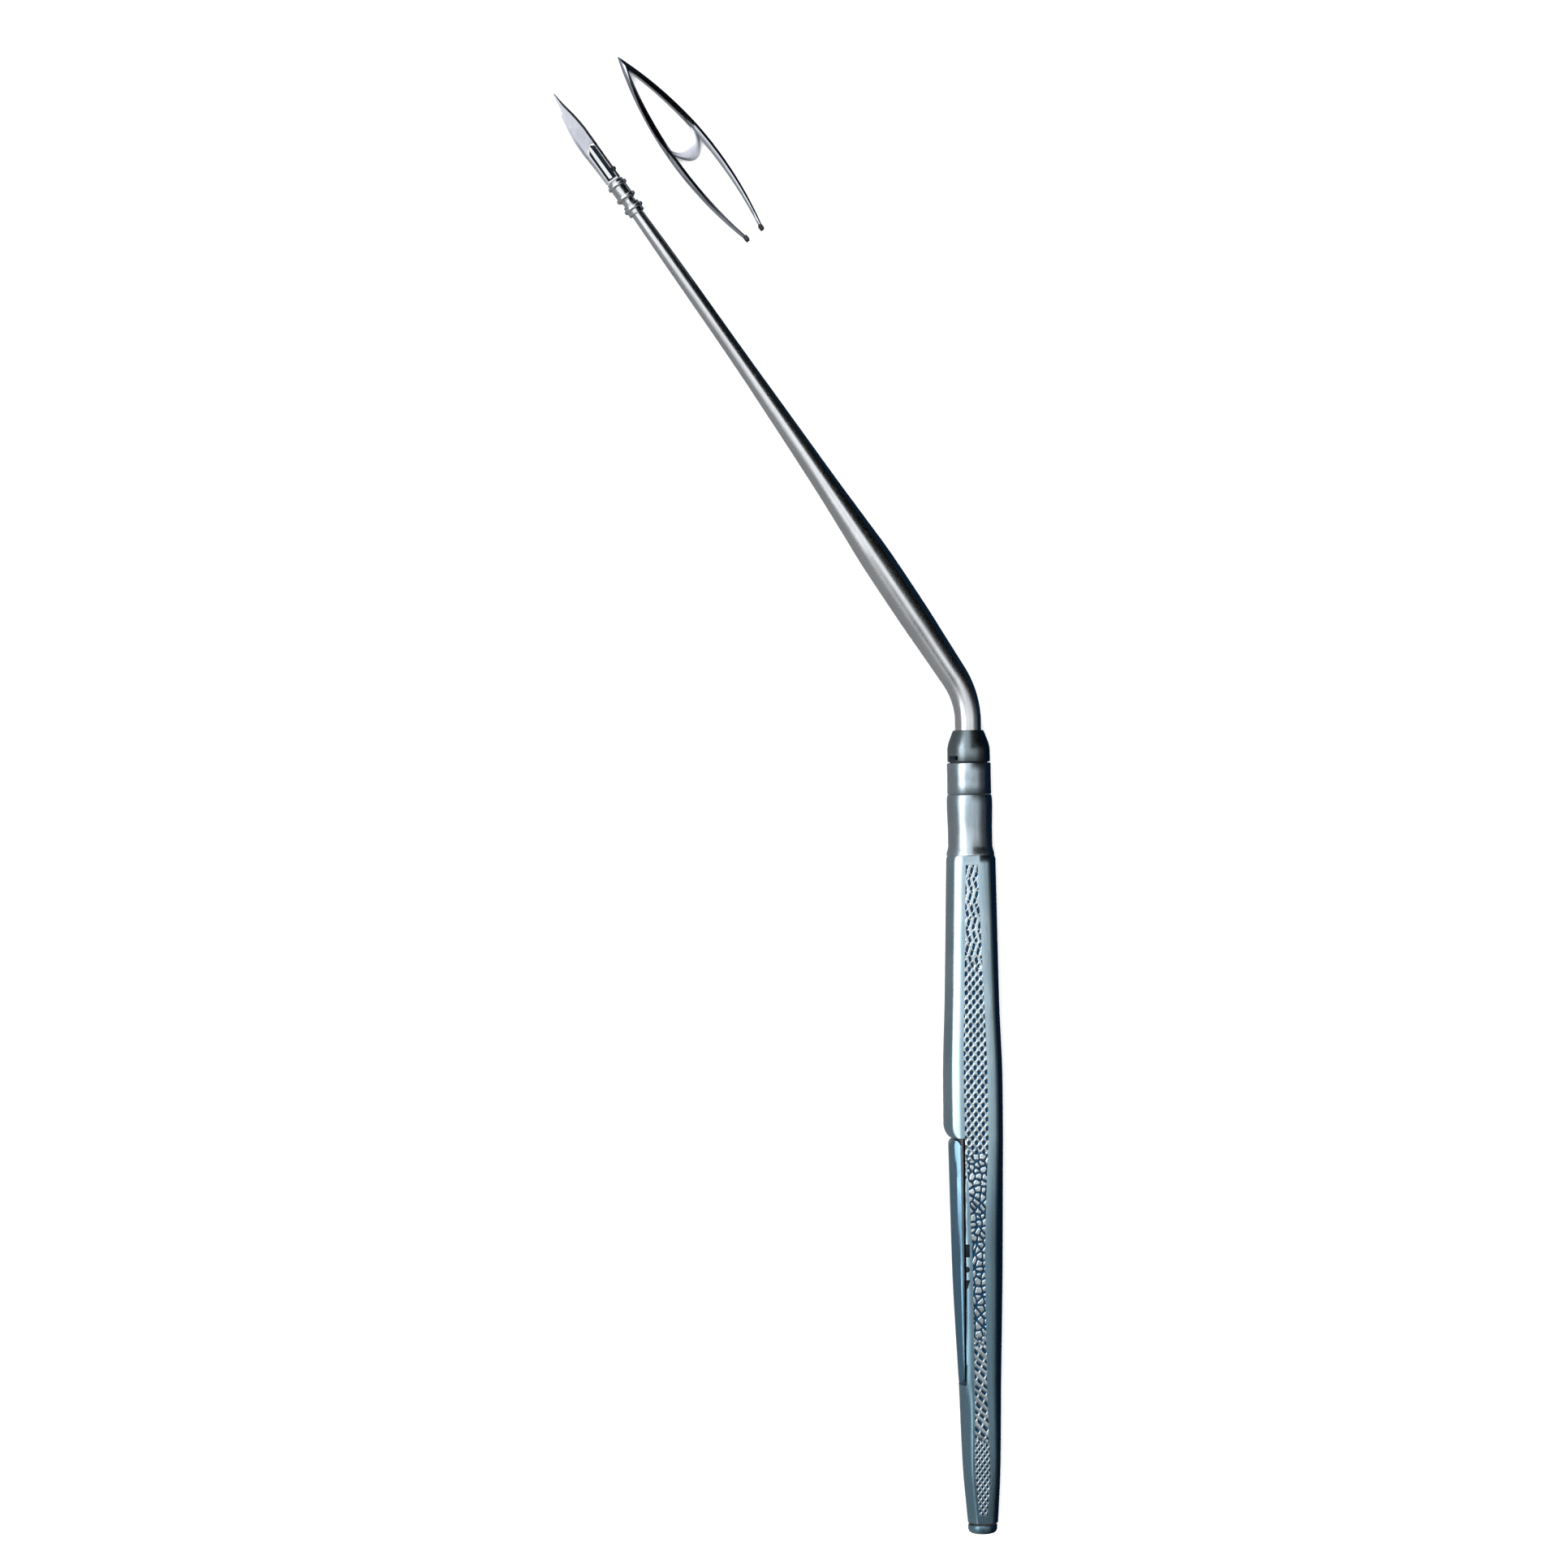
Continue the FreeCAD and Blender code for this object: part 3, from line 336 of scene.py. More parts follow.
def steel(name, light, dark, rough_low, rough_high, turn=0.0, grain=0.25, deep=None):
    """Brushed steel: clouded tint, drawn grain, fine scratches, a lighter colour on sharp convex
    edges.
    """
    material, nodes, shader = new_material(name)
    shader.inputs["Metallic"].default_value = 1.0
    shader.inputs["Anisotropic"].default_value = 0.35
    plain = nodes.stretched((1, 1, 1))
    along = nodes.stretched((9.0, 0.22, 9.0), turn)
    cloud = nodes.noise(plain, 0.16, 3.0)
    streak = nodes.noise(along, 1.0, 5.0, 0.65)
    scratch = nodes.noise(nodes.stretched((14.0, 0.5, 14.0), turn + 0.5), 1.0, 2.0, 0.5)
    scratch = nodes.ranged(scratch, 0.62, 0.72, 0.0, 1.0)
    tint = nodes.mixed(nodes.ranged(cloud, 0.35, 0.65, 0.0, 1.0), light, dark)
    if deep:
        tint = nodes.mixed(nodes.ranged(nodes.along(), 15.0, -25.0, 0.0, 1.0), tint, deep)
    # the colour is lightened on sharp convex edges, picked by pointiness
    edge = nodes.add("ShaderNodeNewGeometry").outputs["Pointiness"]
    edge_lightening = nodes.ranged(edge, 0.52, 0.60, 0.0, 0.35)
    tint = nodes.mixed(edge_lightening, tint, tuple(min(1.0, c * 1.35 + 0.05) for c in light))
    nodes.link(tint, shader.inputs["Base Color"])
    rough = nodes.ranged(streak, 0.3, 0.7, rough_low, rough_high)
    rough = nodes.maths("ADD", rough, nodes.maths("MULTIPLY", scratch, 0.10))
    nodes.link(rough, shader.inputs["Roughness"])
    height = nodes.maths("ADD", streak, nodes.maths("MULTIPLY", scratch, -0.8))
    nodes.link(nodes.bump(height, grain, 0.02), shader.inputs["Normal"])
    return material


def knurled(name, crest, pit):
    """Knurled steel: bright crests, pits painted near-black as shade in the hollows, following the
    piece's own depth.
    """
    material, nodes, shader = new_material(name)
    shader.inputs["Metallic"].default_value = 1.0
    depth = nodes.add("ShaderNodeAttribute", attribute_name="depth").outputs["Fac"]
    plain = nodes.stretched((1, 1, 1))
    cloud = nodes.noise(plain, 0.35, 4.0)
    fine = nodes.noise(plain, 9.0, 4.0)
    crest_tint = nodes.mixed(nodes.ranged(cloud, 0.4, 0.6, 0.0, 1.0), crest,
                             tuple(c * 0.78 for c in crest))
    # painted shade: the deeper the knurl, the nearer its colour comes to the dark pit colour
    pit_shade = nodes.ranged(nodes.maths("ADD", depth, nodes.maths("MULTIPLY", fine, 0.25)),
                         0.25, 0.85, 0.0, 1.0)
    nodes.link(nodes.mixed(pit_shade, crest_tint, pit), shader.inputs["Base Color"])
    nodes.link(nodes.ranged(pit_shade, 0.0, 1.0, 0.26, 0.55), shader.inputs["Roughness"])
    nodes.link(nodes.bump(fine, 0.35, 0.02), shader.inputs["Normal"])
    return material


def matt(name, light, dark, roughness, metallic=0.0, grain=6.0, shine=0.5):
    """Moulded or dark, dull surfaces: clouded colour, fine pores."""
    material, nodes, shader = new_material(name)
    shader.inputs["Metallic"].default_value = metallic
    shader.inputs["Specular IOR Level"].default_value = shine
    plain = nodes.stretched((1, 1, 1))
    cloud = nodes.noise(plain, 1.3, 4.0)
    pores = nodes.noise(plain, grain, 5.0)
    nodes.link(nodes.mixed(nodes.ranged(cloud, 0.35, 0.65, 0.0, 1.0), light, dark),
               shader.inputs["Base Color"])
    nodes.link(nodes.ranged(pores, 0.3, 0.7, roughness - 0.08, roughness + 0.1),
               shader.inputs["Roughness"])
    nodes.link(nodes.bump(pores, 0.4, 0.02), shader.inputs["Normal"])
    return material


BLUE = steel("blue steel", (0.48, 0.61, 0.69), (0.40, 0.54, 0.62), 0.20, 0.30,
             grain=0.12, deep=(0.28, 0.46, 0.58))
# painted shade: the lever is a darker, bluer copy of the handle's blue steel, as its side lies in
# shade
LEVER_SHADED_BLUE = steel("lever steel painted shaded", (0.30, 0.45, 0.57), (0.22, 0.36, 0.49), 0.12, 0.22,
                   deep=(0.17, 0.36, 0.52))
KNURLED = knurled("knurled steel", (0.72, 0.84, 0.91), (0.02, 0.11, 0.24))
NECK = steel("neck steel", (0.52, 0.60, 0.66), (0.44, 0.53, 0.60), 0.24, 0.34, grain=0.12)
NOSE = steel("dark steel", (0.24, 0.29, 0.32), (0.17, 0.21, 0.24), 0.26, 0.36, grain=0.10)
SHANK = steel("shank steel", (0.80, 0.81, 0.83), (0.72, 0.73, 0.76), 0.19, 0.26,
              turn=-TIP_TURN, grain=0.03)
BLADE = steel("blade steel", (0.70, 0.71, 0.78), (0.58, 0.59, 0.67), 0.24, 0.34, turn=-TIP_TURN,
              grain=0.10)
HOOP = steel("hoop steel", (0.70, 0.72, 0.80), (0.58, 0.60, 0.68), 0.12, 0.20, turn=-GUARD_TURN,
             grain=0.05)
PLAIN = steel("plain steel", (0.60, 0.61, 0.63), (0.50, 0.51, 0.53), 0.18, 0.28)
# painted shade: a near-black matt colour for notch and slot walls, faces between parts and the tip
# holder's tongue, where shade falls
PAINTED_SHADE = matt("painted recess shade", (0.012, 0.018, 0.028), (0.006, 0.009, 0.014), 0.55,
            shine=0.08)
RUBBER = matt("seal rubber", (0.020, 0.021, 0.024), (0.010, 0.010, 0.012), 0.62)
BRASS = matt("brass", (0.70, 0.48, 0.20), (0.58, 0.38, 0.15), 0.32, metallic=1.0, grain=4.0)

# ------------------------------------------------------------------ handle sections
# station, half width on the lever side, on the plain side, half thickness, half flat
LOWER = [
    (1.4, 1.80, 1.90, 1.80, 0.75), (8.4, 2.30, 2.30, 2.25, 1.25), (18.4, 2.60, 2.56, 2.60, 1.15),
    (32.8, 3.15, 3.00, 3.10, 1.15), (43.0, 3.28, 3.20, 3.35, 1.50), (48.6, 3.33, 3.31, 3.35, 1.85),
]
UPPER = [
    (48.6, 3.92, 3.31, 3.35, 1.85), (56.0, 3.85, 3.38, 3.35, 1.85), (66.0, 3.47, 3.15, 3.20, 1.60),
    (SHELL_END, 2.96, 3.05, 3.00, 1.10),
]
SHELL_START = LOWER[0][0]
STEP = LOWER[-1][0]
STRIP_START = 2.4
STRIP_END = SHELL_END - 1.1
STRIP_MARGIN = 0.12
RECESS_DEPTH = 0.30
SLOT_GAP = 0.3
SLOT_FLOOR_TAIL = 1.75
SLOT_FLOOR_TOP = 1.40
MARK_END = -1.10
MARK_DEPTH = 0.6
MARK_RADIUS = 0.36
WEDGE_START = -1.52
SHOULDER_LENGTH = 1.5
SHOULDER_FALL = 1.1
SHOULDER_SHARE = 0.60
SHOULDER_DROP = 0.22
SIDE_DROP = 0.95
LEFT_DROP = [(1.4, 0.62), (14.0, 0.60), (19.5, SHOULDER_DROP), (48.0, SHOULDER_DROP)]
CORNER = 0.40
CORNER_STEPS = 5


def sizes_at(station):
    """Left, right, half thickness and half flat at a station."""
    table = LOWER if station <= STEP else UPPER
    return [through([(row[0], row[i]) for row in table], station) for i in range(1, 5)]


def rounded(corners):
    """The outline with each corner replaced by a small arc of points."""
    points = []
    count = len(corners)
    for i in range(count):
        before = Vector(corners[i - 1])
        corner = Vector(corners[i])
        after = Vector(corners[(i + 1) % count])
        back = before - corner
        onward = after - corner
        reach = min(CORNER, back.length * 0.45, onward.length * 0.45)
        start = corner + back.normalized() * reach
        end = corner + onward.normalized() * reach
        for step in range(CORNER_STEPS + 1):
            t = step / CORNER_STEPS
            points.append(start * (1 - t) ** 2 + corner * 2 * t * (1 - t) + end * t * t)
    return points


def side_corners(width, half, flat, drop):
    """Flat's edge, shoulder, top of the short side."""
    spread = width - flat
    return [(flat, half), (flat + spread * SHOULDER_SHARE, half - spread * drop),
            (width, half - spread * SIDE_DROP)]


def side_outline(width, half, flat, drop):
    """A side's upper outline with its corners rounded, without its two ends."""
    ends = CORNER_STEPS + 1
    corners = [(0.0, half)] + side_corners(width, half, flat, drop) + [(width, 0.0)]
    return rounded(corners)[ends:-ends]


def section(left, right, half, flat, edge, depth, left_drop):
    """Outline of the handle, clockwise from the front recess's right edge."""
    upper = side_outline(right, half, flat, SHOULDER_DROP)
    outline = [(edge, half - depth), (edge, half)]
    outline += [(p[0], p[1]) for p in upper]
    outline += [(p[0], -p[1]) for p in reversed(upper)]
    outline += [(edge, -half), (edge, -half + depth), (-edge, -half + depth), (-edge, -half)]
    upper = side_outline(left, half, flat, left_drop)
    outline += [(-p[0], -p[1]) for p in upper]
    outline += [(-p[0], p[1]) for p in reversed(upper)]
    outline += [(-edge, half), (-edge, half - depth)]
    return outline


def slot_floor(station):
    """How far from the axis the lever slot's floor is."""
    share = (station - LEVER_START + SLOT_GAP) / (STEP - LEVER_START + 2 * SLOT_GAP)
    return SLOT_FLOOR_TAIL + (SLOT_FLOOR_TOP - SLOT_FLOOR_TAIL) * share


def slotted(outline, station, half, edge):
    """The outline with the lever's side cut away; beside the strip, so is the recess's lip."""
    limit = -slot_floor(station)
    beyond = [i for i, (x, _) in enumerate(outline) if x < limit]
    result = list(outline)
    for order, i in enumerate(beyond):
        z = outline[i][1]
        if -edge < limit:
            rank = len(beyond) - 1 - order if z > 0 else order
            top = half - RECESS_DEPTH - 0.01 * rank
            z = math.copysign(min(abs(z), top), z)
        result[i] = (limit, z)
    return result


def shell_stations():
    """Stations of the shell's rings, with pairs where the shape steps."""
    slot_low = LEVER_START - SLOT_GAP
    slot_high = STEP + SLOT_GAP
    rows = [(SHELL_START, False), (STRIP_START - 0.01, False)]
    rows += [(s, False) for s in np.linspace(STRIP_START, slot_low - 0.01, 24)]
    rows += [(s, True) for s in np.linspace(slot_low, slot_high, 56)]
    rows += [(slot_high + d, False) for d in (0.01, 0.06, 0.16, 0.3, 0.5, 0.8, 1.15, 1.5)]
    rows += [(s, False) for s in np.linspace(slot_high + 2.0, STRIP_END, 60)]
    rows += [(STRIP_END + 0.01, False), (SHELL_END - 0.4, False), (SHELL_END, False)]
    return rows


def notch(shell, low, high, steps, reach):
    """Cut a notch beside the lever slot, its walls painted near-black as shade; reach gives the x it
    ends at, for a share of it.
    """
    half = sizes_at(PIVOT)[2]
    outside = -slot_floor(PIVOT) - 0.2
    rings = []
    for share in np.linspace(0.0, 1.0, steps):
        station = low + (high - low) * share
        rings.append([at(x, station, z) for x, z in
                      ((outside, half - MARK_DEPTH), (reach(share), half - MARK_DEPTH),
                       (reach(share), half + 0.5), (outside, half + 0.5))])
    cut(shell, *skin(rings), PAINTED_SHADE)


def darken(obj, chosen):
    """Give the faces that chosen(centre, normal) picks the dark material, painted shade."""
    obj.data.materials.append(PAINTED_SHADE)
    for polygon in obj.data.polygons:
        if chosen(polygon.center, polygon.normal):
            polygon.material_index = 1


def make_shell():
    rings = []
    for station, in_slot in shell_stations():
        left, right, half, flat = sizes_at(station)
        past = station - STEP - SLOT_GAP
        if 0 <= past < SHOULDER_LENGTH:
            rest = 1 - past / SHOULDER_LENGTH
            left -= SHOULDER_FALL * (1 - math.sqrt(1 - rest ** 2))
        if station > SHELL_END - 0.1:
            left, right, half = left - 0.15, right - 0.15, half - 0.15
        has_strip = STRIP_START <= station <= STRIP_END
        edge = flat - STRIP_MARGIN
        left_drop = through(LEFT_DROP, station)
        depth = RECESS_DEPTH if has_strip else 0.02
        outline = section(left, right, half, flat, edge, depth, left_drop)
        if in_slot:
            outline = slotted(outline, station, half, edge)
        rings.append([at(x, station, z) for x, z in outline])
    shell = piece("handle_shell_skin", *skin(rings), "handle", "blue_steel", BLUE,
                  replaces=["handle_shell"], sharp=40.0)
    slot_end = at(0.0, STEP + SLOT_GAP, 0.0).y
    # painted shade: the slot's floor faces, under the lever, get the near-black material
    darken(shell, lambda centre, normal: normal.x < -0.97 and centre.y < slot_end
           and -(SLOT_FLOOR_TAIL + 0.02) * MM < centre.x < -(SLOT_FLOOR_TOP - 0.02) * MM)
    # three notches beside the lever slot, their walls painted near-black as shade
    notch(shell, PIVOT - MARK_RADIUS, PIVOT + MARK_RADIUS, 15, lambda share: MARK_END
          - MARK_RADIUS + MARK_RADIUS * math.sqrt(max(0.02, 1 - (2 * share - 1) ** 2)))
    notch(shell, PIVOT + 1.5, PIVOT + 3.1, 2, lambda share: MARK_END)
    notch(shell, PIVOT - 2.6, PIVOT - 1.3, 9, lambda share: WEDGE_START
          + (MARK_END - WEDGE_START) * share)


# ------------------------------------------------------------------ side lever
LEVER_INNER = 1.85
LEVER_TOP_RADIUS = 0.74


def make_lever():
    rings = []
    stations = list(np.linspace(LEVER_START, LEVER_END - 0.8, 60))
    stations += [LEVER_END - LEVER_TOP_RADIUS * (1 - math.sin(a))
                 for a in np.radians((5, 20, 35, 50, 65, 78, 88))]
    for station in stations:
        left, _, half, flat = sizes_at(min(station, STEP))
        inner, outer = LEVER_INNER, left
        from_top = station - (LEVER_END - LEVER_TOP_RADIUS)
        if from_top > 0:
            middle = (inner + outer) / 2
            reach = math.sqrt(max(0.0, 1 - (from_top / LEVER_TOP_RADIUS) ** 2))
            inner = middle - (middle - inner) * reach
            outer = middle + (outer - middle) * reach
        spread = left - flat
        shoulder = flat + spread * SHOULDER_SHARE

        def height(x):
            if x <= shoulder:
                return half - (x - flat) * SHOULDER_DROP / SHOULDER_SHARE
            share = (x - shoulder) / (left - shoulder)
            return half - spread * (SHOULDER_DROP + (SIDE_DROP - SHOULDER_DROP) * share)

        tail = min(1.0, 0.55 + (station - LEVER_START) * 0.35)
        xs = [inner, inner + (outer - inner) * 0.12]
        xs += [inner + (outer - inner) * s for s in (0.3, 0.45, 0.58, 0.68, 0.8, 0.92, 1.0)]
        lower = 0.12 * (1 if from_top <= 0 else max(0.02, reach))
        tops = [height(x) * tail - (lower if i == 0 else 0) for i, x in enumerate(xs)]
        ring = [(-x, z) for x, z in zip(xs, tops)]
        ring += [(-x, -z) for x, z in zip(xs[::-1], tops[::-1])]
        rings.append([at(x, station, z) for x, z in ring])
    lever = piece("side_lever_arm", *skin(rings), "lever", "blue_steel", LEVER_SHADED_BLUE,
                  replaces=["side_lever"], sharp=24.0)
    # painted shade: the lever's inner face, towards the handle, gets the near-black material
    darken(lever, lambda centre, normal: normal.x > 0.95)


# ------------------------------------------------------------------ knurled strips
FINE_TO_STROKES = (11.0, 13.0)
STROKES_TO_CELLS = (23.0, 25.0)
CELLS_TO_LATTICE = (45.5, 48.0)
LATTICE_TO_LEANING = (68.0, 71.0)
CELL = 0.80
COLUMNS = 36
ROWS = 820


def cell_grooves(x, s):
    """Grooves between jittered cells: a generic irregular texture."""
    draw = random.Random(7)
    jitter = {}
    low_i, high_i = int(x.min() / CELL) - 3, int(x.max() / CELL) + 3
    low_j, high_j = int(s.min() / CELL) - 3, int(s.max() / CELL) + 3
    for i in range(low_i, high_i + 1):
        for j in range(low_j, high_j + 1):
            jitter[i, j] = (draw.uniform(-0.42, 0.42), draw.uniform(-0.42, 0.42))
    nearest = np.full(x.shape, 1e9)
    second = np.full(x.shape, 1e9)
    for (i, j), (dx, dy) in jitter.items():
        away = np.hypot(x - (i + dx) * CELL, (s - (j + dy) * CELL) * 0.8)
        closer = away < nearest
        second = np.where(closer, nearest, np.minimum(second, away))
        nearest = np.where(closer, away, nearest)
    return 1 - smoothstep(0.06, 0.20, second - nearest)


def lattice_pits(x, s, across, along):
    """Pits in a diamond lattice."""
    wave = 0.5 * (np.cos(2 * np.pi * x / across) + np.cos(2 * np.pi * s / along))
    return smoothstep(0.42, 0.78, np.abs(wave))


def slanted_strokes(x, s):
    """Broken strokes across the strip."""
    wave = np.cos(2 * np.pi * (s * 0.95 + x * 0.85 + 0.10 * np.sin(s * 2.1)))
    breaks = smoothstep(-0.75, -0.25, np.cos(2 * np.pi * (x / 0.95 - s / 2.4)))
    return smoothstep(0.15, 0.7, wave) * breaks


def slanted_cells(x, s):
    """Longer pits that lean one way and then the other, in turn."""
    row = np.cos(2 * np.pi * s / 3.2)
    lean = np.where(row > 0, 1.0, -1.0)
    wave = np.cos(2 * np.pi * (x / 0.72 + lean * s / 2.4))
    breaks = smoothstep(0.05, 0.30, np.abs(row)) * smoothstep(
        -0.85, -0.45, np.cos(2 * np.pi * (s / 1.15 - x * lean / 1.0)))
    return smoothstep(0.05, 0.6, wave) * breaks


def knurl_depth(x, s):
    """How deep the knurl is, from 0 on a crest to 1 in a pit."""
    place = s + 0.5 * np.sin(s * 1.7 + x)
    past_fine = smoothstep(*FINE_TO_STROKES, place)
    past_strokes = smoothstep(*STROKES_TO_CELLS, place)
    past_cells = smoothstep(*CELLS_TO_LATTICE, place)
    leaning = smoothstep(*LATTICE_TO_LEANING, place)
    return (leaning * slanted_cells(x, s)
            + past_cells * (1 - leaning) * lattice_pits(x, s, 0.90, 1.15)
            + past_strokes * (1 - past_cells) * cell_grooves(x, s)
            + past_fine * (1 - past_strokes) * slanted_strokes(x, s)
            + (1 - past_fine) * lattice_pits(x, s, 0.62, 0.85))


def make_strip(name, node, side):
    stations = np.linspace(STRIP_START + 0.05, STRIP_END - 0.05, ROWS)
    slot_low = LEVER_START - SLOT_GAP
    slot_high = STEP + SLOT_GAP
    right = np.zeros(ROWS)
    left = np.zeros(ROWS)
    top = np.zeros(ROWS)
    for i, station in enumerate(stations):
        _, _, half, flat = sizes_at(station)
        right[i] = flat - STRIP_MARGIN - 0.03
        left[i] = -right[i]
        if slot_low <= station <= slot_high:
            left[i] = max(left[i], -slot_floor(station) + 0.02)
        top[i] = half
    share = np.linspace(0.0, 1.0, COLUMNS)
    x = left[:, None] + (right - left)[:, None] * share[None, :]
    s = np.repeat(stations[:, None], COLUMNS, axis=1)
    depth = knurl_depth(x, s)
    edge = np.minimum(x - left[:, None], right[:, None] - x)
    depth *= smoothstep(0.02, 0.16, edge)
    crown = 0.05 * (1 - smoothstep(0.0, 0.14, edge))
    z = top[:, None] - 0.01 - 0.15 * depth - crown
    floor = top - RECESS_DEPTH
    verts = []
    for i in range(ROWS):
        verts += [at(x[i, j], stations[i], side * z[i, j]) for j in range(COLUMNS)]
        verts.append(at(right[i], stations[i], side * floor[i]))
        verts.append(at(left[i], stations[i], side * floor[i]))
    width = COLUMNS + 2
    faces = []
    for i in range(ROWS - 1):
        for j in range(width):
            a = i * width + j
            b = i * width + (j + 1) % width
            faces.append((a, b, b + width, a + width))
    faces.append(tuple(reversed(range(width))))
    faces.append(tuple(range((ROWS - 1) * width, ROWS * width)))
    obj = piece(name, verts, faces, "handle", "knurled_steel", KNURLED, replaces=[node],
                sharp=60.0)
    values = np.zeros((ROWS, width), np.float32)
    values[:, :COLUMNS] = depth
    values = values.ravel()
    if len(obj.data.vertices) != len(values):
        raise RuntimeError("the strip's mesh lost vertices")
    attribute = obj.data.attributes.new("depth", "FLOAT", "POINT")
    attribute.data.foreach_set("value", values)


# ------------------------------------------------------------------ butt, neck, ring and nose
def make_butt():
    radius = LOWER[0][3]
    seat = SHELL_START - 0.3
    profile = [(0.0, 0.05), (radius * 0.35, 0.02), (radius * 0.62, 0.0), (radius * 0.80, 0.09),
               (radius * 0.92, 0.25), (radius * 0.99, 0.5), (radius, 0.75), (radius, seat),
               (0.0, seat)]
    piece("butt_plug_cap", *lathe(profile, at), "handle", "plain_steel", BLUE,
          replaces=["butt_plug"], sharp=40.0, bevel=0.04)
    profile = [(0.4, seat), (radius - 0.16, seat), (radius - 0.12, seat + 0.06),
               (radius - 0.12, SHELL_START - 0.06), (radius - 0.16, SHELL_START), (0.4, SHELL_START)]
    piece("butt_seal_ring", *lathe(profile, at), "handle", "seal_rubber", RUBBER,
          replaces=["butt_seal"])


def make_neck():
    profile = [
        (1.5, SHELL_END), (2.95, SHELL_END + 0.02), (2.93, SHELL_END + 0.30),
        (2.80, SHELL_END + 0.75), (2.72, SHELL_END + 1.15), (2.72, SHELL_END + 3.2),
        (2.76, SHELL_END + 4.6), (2.80, RING_START - 1.4), (2.79, RING_START - 0.6),
        (2.72, RING_START - 0.10), (2.62, RING_START - 0.01), (1.5, RING_START - 0.01)]
    piece("neck_sleeve_skin", *lathe(profile, at), "handle", "neck_steel", NECK,
          replaces=["neck_sleeve"], sharp=30.0)


def make_ring():
    profile = [
        (1.9, RING_START + 0.01), (2.56, RING_START + 0.01), (2.66, RING_START + 0.05),
        (2.70, RING_START + 0.16), (2.695, RING_START + 1.3), (2.685, RING_END - 1.2),
        (2.70, RING_END - 0.18), (2.65, RING_END - 0.05), (2.54, RING_END),
        (1.9, RING_END)]
    piece("collar_ring_skin", *lathe(profile, at), "handle", "neck_steel", NECK,
          replaces=["collar_ring"], sharp=30.0)


def make_nose():
    straight = NOSE_START + 1.7
    profile = [
        (1.9, NOSE_START), (2.50, NOSE_START), (2.59, NOSE_START + 0.04), (2.62, NOSE_START + 0.14),
        (2.62, straight - 0.2), (2.59, straight + 0.15), (2.46, straight + 0.7),
        (2.22, straight + 1.35), (1.99, NOSE_END - 0.28), (1.90, NOSE_END - 0.08),
        (1.80, NOSE_END - 0.01), (1.73, NOSE_END), (1.73, NOSE_END - 1.2), (1.9, NOSE_END - 1.4)]
    nose = piece("nose_cap_skin", *lathe(profile, at), "nose", "dark_steel", NOSE,
                 replaces=["nose_cap"], sharp=30.0)
    # notches in the nose cap's rim, their walls painted near-black as shade
    for side in (-1, 1):
        x_low, x_high = sorted((side * 3.2, side * 1.42))
        z_low, z_high = sorted((-side * 1.0, -side * 3.2))
        cut(nose, *block(x_low, x_high, NOSE_START - 0.5, NOSE_START + 0.75, z_low, z_high, at),
            PAINTED_SHADE)


# ------------------------------------------------------------------ shank
SHANK_RADII = [(0, 1.72), (5, 1.83), (9, 1.92), (13, 1.94), (17, 1.92), (22, 1.72), (28, 1.47),
               (34, 1.30), (40, 1.16), (46, 1.03), (52, 0.96), (58, 0.92), (64, 0.85),
               (69.8, 0.73)]
SHANK_STEPS = 64
TANG_RADIUS = 1.22
TANG_END = 97.95
STEM_RADIUS = 1.60
BEND_GROWTH = 0.12
END_ROUND = 0.07


def shank_ring(x, station, turn, radius):
    ring = []
    for k in range(SHANK_STEPS):
        a = 2 * math.pi * k / SHANK_STEPS
        across = radius * math.cos(a)
        ring.append(at(x + across * math.cos(turn), station + across * math.sin(turn),
                       radius * math.sin(a)))
    return ring


def make_shank():
    tang_start = (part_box("shank")[0].y - BUTT_Y) / MM
    straight = [(tang_start, 1.12), (tang_start + 0.1, TANG_RADIUS), (TANG_END, TANG_RADIUS),
                (98.3, 1.58), (98.6, STEM_RADIUS), (BEND_STATION, STEM_RADIUS)]
    rings = [shank_ring(0, station, 0, radius) for station, radius in straight]
    for step in range(1, 17):
        turn = BEND_ANGLE * step / 16
        x = -BEND_RADIUS * (1 - math.cos(turn))
        y = BEND_STATION + BEND_RADIUS * math.sin(turn)
        rings.append(shank_ring(x, y, turn, STEM_RADIUS + BEND_GROWTH * (step / 16) ** 2))
    for reach in list(np.linspace(1.2, SHANK_REACH - 0.25, 78)) + [SHANK_REACH - 0.06, SHANK_REACH]:
        x, y, turn = path_place(reach)
        radius = through(SHANK_RADII, reach)
        if reach == SHANK_REACH:
            radius -= END_ROUND
        rings.append(shank_ring(x, y, turn, radius))
    piece("shank_rod", *skin(rings), "shank_unit", "shank_steel", SHANK, replaces=["shank"],
          sharp=35.0)


# ------------------------------------------------------------------ tip fitting
RING_INNER = 0.84
RING_OUTER = 1.04
RIB = 0.24


def ribbed(start, end, ribs):
    """Profile of a thin ring with rounded ribs."""
    profile = [(RING_INNER, start), (RING_OUTER - 0.04, start), (RING_OUTER, start + 0.05)]
    for middle in ribs:
        for share in np.linspace(-1, 1, 9):
            lift = RIB * math.sqrt(max(0.0, 1 - share ** 4))
            profile.append((RING_OUTER + lift, middle + 0.25 * share))
    profile += [(RING_OUTER, end - 0.05), (RING_OUTER - 0.04, end), (RING_INNER, end)]
    return profile


def make_tip_rings():
    piece("ferrule_ring", *lathe(ribbed(-0.7, 0.7, [0.1]), at_tip), "shank_unit", "dark_steel",
          SHANK, replaces=["ferrule"], sharp=30.0)
    piece("lock_ring_ribs", *lathe(ribbed(1.35, 4.1, [1.7, 3.5]), at_tip), "lock", "dark_steel",
          SHANK, replaces=["lock_ring"], sharp=30.0)


